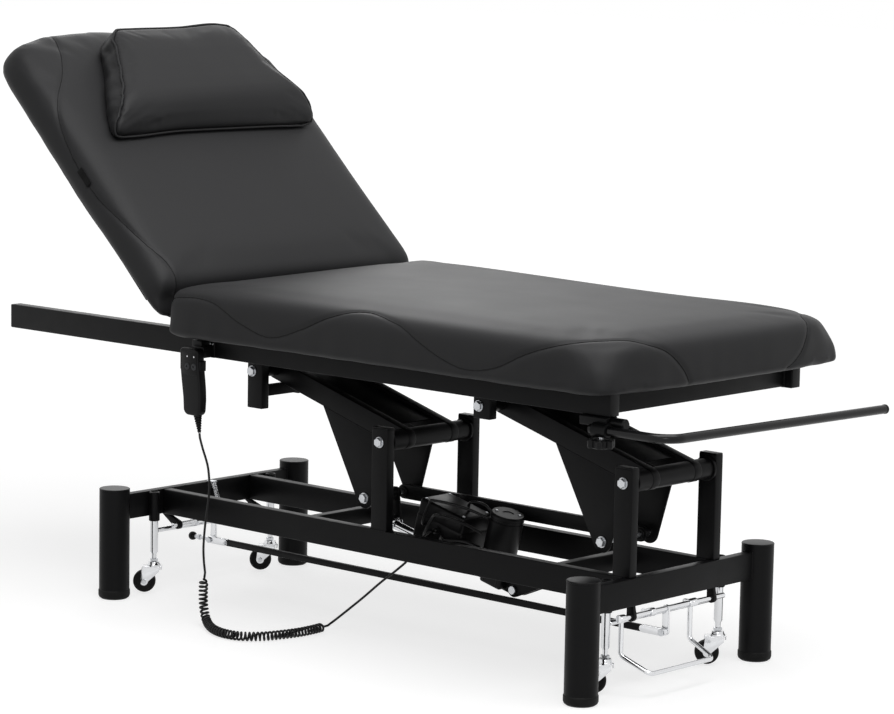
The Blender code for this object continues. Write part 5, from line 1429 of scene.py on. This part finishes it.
def remesh(item, voxel):
    step = item.modifiers.new("remesh", "REMESH")
    step.mode = "VOXEL"
    step.voxel_size = voxel
    apply_modifier(item, step.name)


def relax(item, rounds):
    step = item.modifiers.new("relax", "SMOOTH")
    step.factor = 0.5
    step.iterations = rounds
    apply_modifier(item, step.name)


def swell(item, held, cap):
    """Fill a closed leather form with air as cloth; what is held to the board stays."""
    frames = 20
    rest = [vert.co.copy() for vert in item.data.vertices]
    group = item.vertex_groups.new(name="held")
    group.add([index for index, place in enumerate(rest) if held(place)], 1.0, "REPLACE")
    cloth = item.modifiers.new("cloth", "CLOTH")
    settings = cloth.settings
    settings.use_pressure = True
    settings.uniform_pressure_force = 4
    settings.quality = 5
    settings.effector_weights.gravity = 0
    settings.vertex_group_mass = group.name
    cloth.point_cache.frame_end = frames
    for number in range(1, frames + 1):
        bpy.context.scene.frame_set(number)
    apply_modifier(item, cloth.name)
    bpy.context.scene.frame_set(1)
    for vert, place in zip(item.data.vertices, rest):
        move = vert.co - place
        if move.length > cap:
            vert.co = place + move * (cap / move.length)
    item.vertex_groups.clear()


def refine(item):
    """Divide each face once, smoothly."""
    smoother = item.modifiers.new("finer", "SUBSURF")
    smoother.levels = 1
    smoother.render_levels = 1
    apply_modifier(item, smoother.name)


def surface_of(item):
    """A search tree of a mesh object's surface."""
    return BVHTree.FromPolygons([vert.co for vert in item.data.vertices],
                                [face.vertices[:] for face in item.data.polygons])


def lay_on(item, route, local):
    """Each point of a route laid on a cushion's surface, with the surface's normal there."""
    surface = surface_of(item)
    path = []
    for point in route:
        place, normal, _, _ = surface.find_nearest(to_frame @ local @ point)
        path.append((place, normal))
    return path


def seam_path(item, route, local, side):
    """A seam's points on the near (-1) or far (1) side of a cushion."""
    places = [(x, side * y, height) for x, y, height in route]
    return lay_on(item, smooth_route(places, route_spacing), local)


def bell(share):
    """1 at 0, falling to 0 on both sides."""
    return 2.718 ** (-share ** 2)


def press_seams(item, paths):
    """Pull the leather in along its seams."""
    finish_sizes = sizes_of_finish()
    spots = [place for path in paths for place, _ in path]
    tree = KDTree(len(spots))
    for index, place in enumerate(spots):
        tree.insert(place, index)
    tree.balance()
    reach = finish_sizes.seam_width * 3
    moves = []
    for vert in item.data.vertices:
        _, _, gap = tree.find(vert.co)
        if gap < reach:
            share = bell(gap / finish_sizes.seam_width)
            moves.append((vert, vert.normal.copy() * finish_sizes.seam_depth * share))
    for vert, move in moves:
        vert.co -= move


def thread_lines(item, paths):
    """The thread of each seam, as thin tubes on the leather."""
    surface = surface_of(item)
    lines = []
    for path in paths:
        points = []
        for place, _ in path:
            spot, normal, _, _ = surface.find_nearest(place)
            points.append(spot + normal * 0.0001)
        lines.append(bent_tube(points, sizes_of_finish().thread, "thread", roundness=1))
    return lines


def drape_folds(item, low, high, local, depth):
    """Small slack folds of the leather near the staples, deepest at the corners."""
    inverse = (to_frame @ local).inverted()
    middle = (Vector(low) + Vector(high)) / 2
    half = (Vector(high) - Vector(low)) / 2
    for vert in item.data.vertices:
        spot = inverse @ vert.co - middle
        beside = max(abs(spot.x) / half.x, abs(spot.y) / half.y)
        corner = min(abs(spot.x) / half.x, abs(spot.y) / half.y)
        if beside < 0.9:
            continue
        lowness = max(0.0, min(1.0, 0.5 - spot.z / (2 * half.z)))
        along = spot.x + spot.y
        wave = noise.noise(Vector((along * 26, spot.z * 8, spot.x * 3)))
        vert.co += vert.normal * depth * wave * lowness * (0.35 + 0.9 * max(0.0, corner - 0.6))


def ramp(value, start, end):
    """A soft step from 0 at the start to 1 at the end."""
    share = max(0.0, min(1.0, (value - start) / (end - start)))
    return share * share * (3 - 2 * share)


def bed_form(spot):
    """The leather sags past the board's edge, and the foot corners lean in towards the top."""
    lowness = ramp(spot.z, pad_bottom + 0.045, pad_bottom)
    beside = max(ramp(abs(spot.y), 0.281, 0.320), ramp(spot.x, 0.674, 0.705))
    corner = ramp(spot.x, 0.600, 0.715) * ramp(abs(spot.y), 0.250, 0.345)
    spot.z -= (0.0075 + 0.0055 * corner) * lowness * beside
    rise = ramp(spot.z, pad_bottom + 0.012, pad_bottom + 0.085)
    spread = 0.010 - 0.019 * rise
    spot.x += spread * corner
    spot.y += spread * corner * (1 if spot.y > 0 else -1)
    spot.z -= 0.006 * corner * rise
    spot.z += ramp(spot.x, 0.450, -0.300) * rise * (0.005 + 0.005 * ramp(spot.y, -0.200, 0.300))


def back_form(spot):
    """The underside's edges are drawn up, most of all at the fold, whose end hangs down."""
    lowness = ramp(spot.z, -0.008, -0.046)
    fold = ramp(spot.x, -0.300, -0.020)
    beside = ramp(abs(spot.y), 0.270, 0.350)
    amount = (0.0075 + 0.0060 * fold) * lowness * beside
    spot.z += amount
    spot.y -= 0.6 * amount * (1 if spot.y > 0 else -1)
    top = ramp(spot.x, -0.440, -0.610)
    spot.x -= 0.027 * top * ramp(spot.y, 0.240, -0.160)
    spot.x += top * (0.013 * ramp(spot.y, -0.220, -0.350) + 0.022 * ramp(spot.y, 0.120, 0.300))
    spot.y -= 0.010 * top * ramp(spot.y, 0.260, 0.350)
    hang = 0.010 + 0.014 * ramp(abs(spot.y), 0.255, 0.300)
    spot.x += hang * ramp(spot.x, -0.060, -0.012) * ramp(spot.z, 0.004, -0.026)


def reshape(item, form, local):
    """Move each vertex by a form written in the cushion's own place."""
    forward = to_frame @ local
    inverse = forward.inverted()
    for vert in item.data.vertices:
        spot = inverse @ vert.co
        form(spot)
        vert.co = forward @ spot


def pad(name, node, local, low, high, seams, body, form):
    """A cushion: CAD form, swollen leather, slack folds and pressed seams."""
    finish_sizes = sizes_of_finish()
    item = copy_of_node(node, name)
    remesh(item, finish_sizes.pad_voxel)
    relax(item, 14)
    reshape(item, form, local)
    inverse = (to_frame @ local).inverted()
    swell(item, lambda place: (inverse @ place).z < low[2] + 0.012, finish_sizes.swell)
    relax(item, 3)
    drape_folds(item, low, high, local, 0.0030)
    refine(item)
    paths = [seam_path(item, seam, local @ Matrix.Translation((0, 0, low[2])), side)
             for seam, side in zip(seams, (-1, 1))]
    press_seams(item, paths)
    lines = thread_lines(item, paths)
    paint(item, "leather")
    piece = join([item] + lines)
    piece.name = name
    bpy.ops.object.shade_smooth()
    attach(piece, body)
    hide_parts(node)
    return piece


def bed():
    low = (bed_head_x, -pad_half_width, pad_bottom)
    high = (bed_foot_x, pad_half_width, pad_bottom + pad_height)
    pad("bed_upholstery", "bed_cushion", Matrix(), low, high, (bed_seam, bed_far_seam),
        "upper_frame", bed_form)


def backrest():
    low = (-fold_gap - back_length, -pad_half_width, -pad_below_hinge)
    high = (-fold_gap, pad_half_width, pad_edge)
    piece = pad("backrest_upholstery", "backrest_cushion", leaning(*hinge, back_angle), low, high,
                (back_seam, back_far_seam), "backrest", back_form)
    local = to_frame @ leaning(*hinge, back_angle)
    surface = surface_of(piece)
    place, normal, _, _ = surface.find_nearest(local @ Vector((tag_along, -0.37, 0.012)))
    along = (local.to_3x3() @ Vector((1, 0, 0))).normalized()
    up = normal.cross(along).normalized()
    corners = [(-0.0200, -0.0030), (0.0200, -0.0030), (0.0195, 0.0105), (-0.0195, 0.0110)]
    bpy.ops.object.select_all(action="DESELECT")
    bpy.ops.mesh.primitive_grid_add(x_subdivisions=8, y_subdivisions=6, size=1)
    tag = bpy.context.object
    for vert in tag.data.vertices:
        across = vert.co.x + 0.5
        rise = vert.co.y + 0.5
        low_edge = Vector(corners[0]).lerp(Vector(corners[1]), across)
        high_edge = Vector(corners[3]).lerp(Vector(corners[2]), across)
        flat = low_edge.lerp(high_edge, rise)
        lift = 0.0012 + 0.0020 * sin(pi * rise * 0.6) + 0.0004 * sin(9 * across)
        vert.co = place + along * flat.x + up * flat.y + normal * lift
    wall = tag.modifiers.new("wall", "SOLIDIFY")
    wall.thickness = 0.0008
    apply_modifier(tag, wall.name)
    paint(tag, "tag")
    tag.name = "plain_woven_tag"
    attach(tag, "backrest")


def pillow_top(share):
    """The height of the pillow's top at a share of the way to its upper edge."""
    index = 0
    while index < len(pillow_places) - 2 and pillow_places[index + 1] < share:
        index += 1
    start, end = pillow_places[index:index + 2]
    low, high = pillow_shares[index:index + 2]
    tall = low + (high - low) * max(0.0, min(1.0, (share - start) / (end - start)))
    return pillow_bottom + pillow_thickness * tall


def piping_route():
    """One ring: low along the lower edge, up at its corners, then along the sides and the top edge."""
    low_half, top_half = pillow_half_widths
    upper = pillow_low - pillow_height
    top = pillow_top(1.0)
    half = [(pillow_low + 0.006, 0.0, pillow_bottom + 0.010),
            (pillow_low + 0.006, 0.120, pillow_bottom + 0.010),
            (pillow_low + 0.006, low_half - 0.070, pillow_bottom + 0.009),
            (pillow_low + 0.006, low_half - 0.026, pillow_bottom + 0.009),
            (pillow_low - 0.002, low_half - 0.002, pillow_bottom + 0.016),
            (pillow_low - 0.020, low_half + 0.004, pillow_bottom + 0.036)]
    for share in (0.20, 0.30, 0.45, 0.60, 0.75, 0.88):
        wide = low_half + (top_half - low_half) * share
        half.append((pillow_low - pillow_height * share, wide + 0.014, pillow_top(share) + 0.001))
    half += [(upper + 0.006, top_half + 0.006, top + 0.006),
             (upper - 0.008, top_half - 0.016, top + 0.006),
             (upper - 0.010, 0.080, top + 0.006), (upper - 0.010, 0.0, top + 0.006)]
    half = [(x - 0.012 * ramp(x, upper + 0.110, upper), y, z) for x, y, z in half]
    far = [(x, pillow_shift + y + 0.022 * ramp(x, pillow_low - 0.110, upper) * ramp(y, 0.0, 0.120), z)
           for x, y, z in half]
    near = [(x, pillow_shift - y, z) for x, y, z in half[-2:0:-1]]
    return smooth_route(far + near + far[:1], 0.007)[:-1]


def pillow_form(spot):
    """Slack wrinkles across the side strips, and a top edge that swells on its far half."""
    upper = pillow_low - pillow_height
    share = (pillow_low - spot.x) / pillow_height
    edge = pillow_half_widths[0] + (pillow_half_widths[1] - pillow_half_widths[0]) * share
    across = spot.y - pillow_shift
    beside = ramp(abs(across), edge - 0.050, edge - 0.008)
    beside *= ramp(spot.z, pillow_bottom, pillow_bottom + 0.015)
    beside *= ramp(spot.z, pillow_top(share) - 0.004, pillow_top(share) - 0.020)
    wave = noise.noise(Vector((spot.x * 42, spot.z * 12, 3.7 + across)))
    spot.y += 0.0060 * wave * beside * (1 if across > 0 else -1)
    above = ramp(spot.x, upper + 0.110, upper)
    swelling = bell((across - 0.105) / 0.055)
    spot.x -= above * (0.010 + 0.010 * swelling)
    spot.y += 0.024 * ramp(share, 0.45, 1.00) * ramp(across, 0.0, 0.120)
    bend = ramp(share, 0.0, 0.22) * ramp(share, 0.80, 0.30)
    bend *= ramp(spot.z, pillow_bottom + 0.020, pillow_bottom + 0.050)
    spot.x += (0.009 - 0.020 * across) * bend
    spot.x += 0.009 * ramp(across, -0.080, -0.270) * ramp(share, 0.30, 0.0)


def pillow():
    """The pillow on the backrest, with one ring of piping and slack sides."""
    finish_sizes = sizes_of_finish()
    local = leaning(*hinge, back_angle)
    item = copy_of_node("pillow", "pillow_upholstery")
    remesh(item, finish_sizes.pillow_voxel)
    relax(item, 4)
    inverse = (to_frame @ local).inverted()
    swell(item, lambda place: (inverse @ place).z < pillow_bottom + 0.004, 0.0030)
    relax(item, 2)
    refine(item)
    reshape(item, pillow_form, local)
    ring = lay_on(item, piping_route(), local)
    press_seams(item, [ring])
    line = bent_tube([spot + normal * 0.0006 for spot, normal in ring], finish_sizes.piping, "leather",
                     closed=True, roundness=3)
    paint(item, "leather")
    piece = join([item, line])
    piece.name = "pillow_upholstery"
    bpy.ops.object.shade_smooth()
    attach(piece, "backrest")
    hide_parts("pillow")


# Stage


def white_where_seen(tree, strength):
    """Emission only where the camera, a mirror or glass sees the surface."""
    rays = add_node(tree, "ShaderNodeLightPath").outputs
    first = add_node(tree, "ShaderNodeMath", {0: rays["Is Camera Ray"], 1: rays["Is Glossy Ray"]},
                     operation="MAXIMUM")
    seen = add_node(tree, "ShaderNodeMath",
                    {0: first.outputs[0], 1: rays["Is Transmission Ray"]}, operation="MAXIMUM")
    return add_node(tree, "ShaderNodeMath", {0: seen.outputs[0], 1: strength},
                    operation="MULTIPLY").outputs[0]


def studio_floor():
    bpy.ops.object.select_all(action="DESELECT")
    bpy.ops.mesh.primitive_plane_add(size=60, location=(0, 0, -0.0002))
    floor = bpy.context.object
    bpy.ops.object.transform_apply(location=True, rotation=True, scale=True)
    floor.name = "studio_floor"
    material = bpy.data.materials.new("studio floor, matt white")
    material.use_nodes = True
    tree = material.node_tree
    tree.nodes.clear()
    matt = add_node(tree, "ShaderNodeBsdfDiffuse", {"Color": colours().floor})
    place = add_node(tree, "ShaderNodeTexCoord").outputs["Object"]
    away = add_node(tree, "ShaderNodeVectorMath", {0: place}, operation="LENGTH")
    level = add_node(tree, "ShaderNodeMapRange", {"Value": away.outputs["Value"], "From Min": 1.6,
                                                  "From Max": 6.0, "To Min": 0.74, "To Max": 1.0})
    glow = add_node(tree, "ShaderNodeEmission",
                    {"Strength": white_where_seen(tree, level.outputs["Result"])})
    both = add_node(tree, "ShaderNodeAddShader", {0: matt.outputs[0], 1: glow.outputs[0]})
    add_node(tree, "ShaderNodeOutputMaterial", {"Surface": both.outputs[0]})
    floor.data.materials.append(material)


def studio_world():
    world = bpy.data.worlds.new("studio")
    world.use_nodes = True
    tree = world.node_tree
    tree.nodes.clear()
    plain = 0.20
    seen = white_where_seen(tree, 1.0 - plain)
    strength = add_node(tree, "ShaderNodeMath", {0: seen, 1: plain}, operation="ADD")
    glow = add_node(tree, "ShaderNodeBackground",
                    {"Color": (1, 1, 1, 1), "Strength": strength.outputs[0]})
    add_node(tree, "ShaderNodeOutputWorld", {"Surface": glow.outputs[0]})
    bpy.context.scene.world = world


def soft_lamp(name, place, target, size, watts):
    lamp = bpy.data.lights.new(name, "AREA")
    lamp.shape = "RECTANGLE"
    lamp.size = size[0]
    lamp.size_y = size[1]
    lamp.energy = watts
    item = bpy.data.objects.new(name, lamp)
    bpy.context.scene.collection.objects.link(item)
    item.location = place
    item.rotation_euler = (Vector(target) - Vector(place)).to_track_quat("-Z", "Y").to_euler()


def photo_camera():
    """The camera of the photograph: its place, its turn and its long lens."""
    place = Vector((4.0724, -4.4668, 1.3487))
    yaw = radians(42.016)
    pitch = radians(-7.789)
    roll = radians(1.093)
    forward = Vector((-sin(yaw) * cos(pitch), cos(yaw) * cos(pitch), sin(pitch)))
    right = Vector((cos(yaw), sin(yaw), 0))
    up = right.cross(forward)
    tilted_right = right * cos(roll) + up * sin(roll)
    tilted_up = up * cos(roll) - right * sin(roll)
    lens = bpy.data.cameras.new("photo camera")
    lens.sensor_width = 36
    lens.lens = 130.04
    lens.clip_start = 0.05
    camera = bpy.data.objects.new("photo camera", lens)
    bpy.context.scene.collection.objects.link(camera)
    turn = Matrix((tilted_right, tilted_up, -forward)).transposed().to_4x4()
    camera.matrix_world = to_frame @ Matrix.Translation(place) @ turn
    bpy.context.scene.camera = camera


def build_stage():
    studio_floor()
    studio_world()
    soft_lamp("top light", (0.9, -0.4, 3.2), (0, 0, 0.5), (3.0, 2.2), 100)
    soft_lamp("side light", (3.4, -2.9, 1.6), (0, 0, 0.5), (0.9, 0.9), 17)
    soft_lamp("rim light", (-2.8, 2.4, 2.4), (0, 0, 0.6), (2.0, 1.4), 24)
    photo_camera()
    bpy.context.scene.view_settings.view_transform = "Standard"


def build_base():
    for end, sign in ends:
        for side, across in sides:
            leg(end, side, sign * leg_x, across * leg_y)
    end_beam("head", -1, head_shaft_x)
    end_beam("foot", 1, leg_x)
    for side, sign in sides:
        base_rail(side, sign)
    cross_members()
    for end, x in (("head", head_post_x), ("foot", foot_post_x)):
        through_bolt(f"{end}_post_pivot_bolt", "root", f"{end}_post_bolt", (x, pivot_z), rail_outer_y)


def build_lifting_gear():
    for end, x, with_drive in (("head", head_post_x, True), ("foot", foot_post_x, False)):
        local = lifting_arm(f"{end}_arm_weldment", f"arm_{end}", f"{end}_lift_arm", x, with_drive)
        through_bolt(f"{end}_lever_pivot_bolt", f"arm_{end}", f"{end}_lever_bolt", lever, web_outer_y,
                     local)
    link_bar()
    drive()


def build_upper_frame():
    top_rails()
    frame_brackets()
    boards()
    gas_strut()


def build_casters():
    for end, sign in ends:
        for side, across in sides:
            caster(end, side, sign * caster_x, across * caster_y)
    pedal_and_shafts()
    link_rod()
    return_spring()


class TABLE_OT_base(bpy.types.Operator):
    """Add the legs, beams, rails with posts, cross members and pivot bolts"""
    bl_idname = "massage_table.base"
    bl_label = "Base"

    def execute(self, context):
        build_base()
        return {"FINISHED"}


class TABLE_OT_lifting_gear(bpy.types.Operator):
    """Add the lifting arms, the link bar and the electric drive"""
    bl_idname = "massage_table.lifting_gear"
    bl_label = "Lifting gear"

    def execute(self, context):
        build_lifting_gear()
        return {"FINISHED"}


class TABLE_OT_upper_frame(bpy.types.Operator):
    """Add the upper frame, the boards and the gas strut"""
    bl_idname = "massage_table.upper_frame"
    bl_label = "Upper frame"

    def execute(self, context):
        build_upper_frame()
        return {"FINISHED"}


class TABLE_OT_casters(bpy.types.Operator):
    """Add the casters, their shafts and bars, the pedal bail and the link rod"""
    bl_idname = "massage_table.casters"
    bl_label = "Casters and pedal"

    def execute(self, context):
        build_casters()
        return {"FINISHED"}


class TABLE_OT_roll_bar(bpy.types.Operator):
    """Add the roll bar with its clamp and knob"""
    bl_idname = "massage_table.roll_bar"
    bl_label = "Roll bar"

    def execute(self, context):
        roll_bar()
        return {"FINISHED"}


class TABLE_OT_handset(bpy.types.Operator):
    """Add the handset with its clip and keys"""
    bl_idname = "massage_table.handset"
    bl_label = "Handset"

    def execute(self, context):
        handset()
        return {"FINISHED"}


class TABLE_OT_cord(bpy.types.Operator):
    """Add the three stretches of the handset's cord"""
    bl_idname = "massage_table.cord"
    bl_label = "Handset cord"

    def execute(self, context):
        handset_cord()
        return {"FINISHED"}


class TABLE_OT_bed(bpy.types.Operator):
    """Add the bed's cushion with its wavy seams"""
    bl_idname = "massage_table.bed"
    bl_label = "Bed cushion"

    def execute(self, context):
        bed()
        return {"FINISHED"}


class TABLE_OT_backrest(bpy.types.Operator):
    """Add the backrest's cushion with its seams and plain tag"""
    bl_idname = "massage_table.backrest"
    bl_label = "Backrest cushion"

    def execute(self, context):
        backrest()
        return {"FINISHED"}


class TABLE_OT_pillow(bpy.types.Operator):
    """Add the pillow with its piping"""
    bl_idname = "massage_table.pillow"
    bl_label = "Pillow"

    def execute(self, context):
        pillow()
        return {"FINISHED"}


class TABLE_OT_stage(bpy.types.Operator):
    """Add the floor, the world, the lamps and the camera"""
    bl_idname = "massage_table.stage"
    bl_label = "Stage"

    def execute(self, context):
        build_stage()
        return {"FINISHED"}


steps = (TABLE_OT_stage, TABLE_OT_cord, TABLE_OT_base, TABLE_OT_lifting_gear, TABLE_OT_upper_frame,
         TABLE_OT_casters, TABLE_OT_roll_bar, TABLE_OT_handset, TABLE_OT_bed, TABLE_OT_backrest,
         TABLE_OT_pillow)


class TABLE_PT_panel(bpy.types.Panel):
    """The table's sizes, colours and pieces"""
    bl_idname = "TABLE_PT_panel"
    bl_label = "Massage table"
    bl_space_type = "VIEW_3D"
    bl_region_type = "UI"
    bl_category = "Massage table"

    def draw(self, context):
        for group in (context.scene.table_sizes, context.scene.table_colours):
            box = self.layout.box()
            for name in group.__annotations__:
                box.prop(group, name)
        for step in steps:
            self.layout.operator(step.bl_idname)


classes = (TableSizes, TableColours, *steps, TABLE_PT_panel)


def register():
    for item in classes:
        bpy.utils.register_class(item)
    bpy.types.Scene.table_sizes = bpy.props.PointerProperty(type=TableSizes)
    bpy.types.Scene.table_colours = bpy.props.PointerProperty(type=TableColours)


def unregister():
    del bpy.types.Scene.table_colours
    del bpy.types.Scene.table_sizes
    for item in reversed(classes):
        bpy.utils.unregister_class(item)


def main():
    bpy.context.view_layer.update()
    register()
    bpy.ops.massage_table.stage()
    bpy.ops.massage_table.cord()
    bpy.ops.massage_table.base()
    bpy.ops.massage_table.lifting_gear()
    bpy.ops.massage_table.upper_frame()
    bpy.ops.massage_table.casters()
    bpy.ops.massage_table.roll_bar()
    bpy.ops.massage_table.handset()
    bpy.ops.massage_table.bed()
    bpy.ops.massage_table.backrest()
    bpy.ops.massage_table.pillow()


if __name__ == "__main__":
    main()
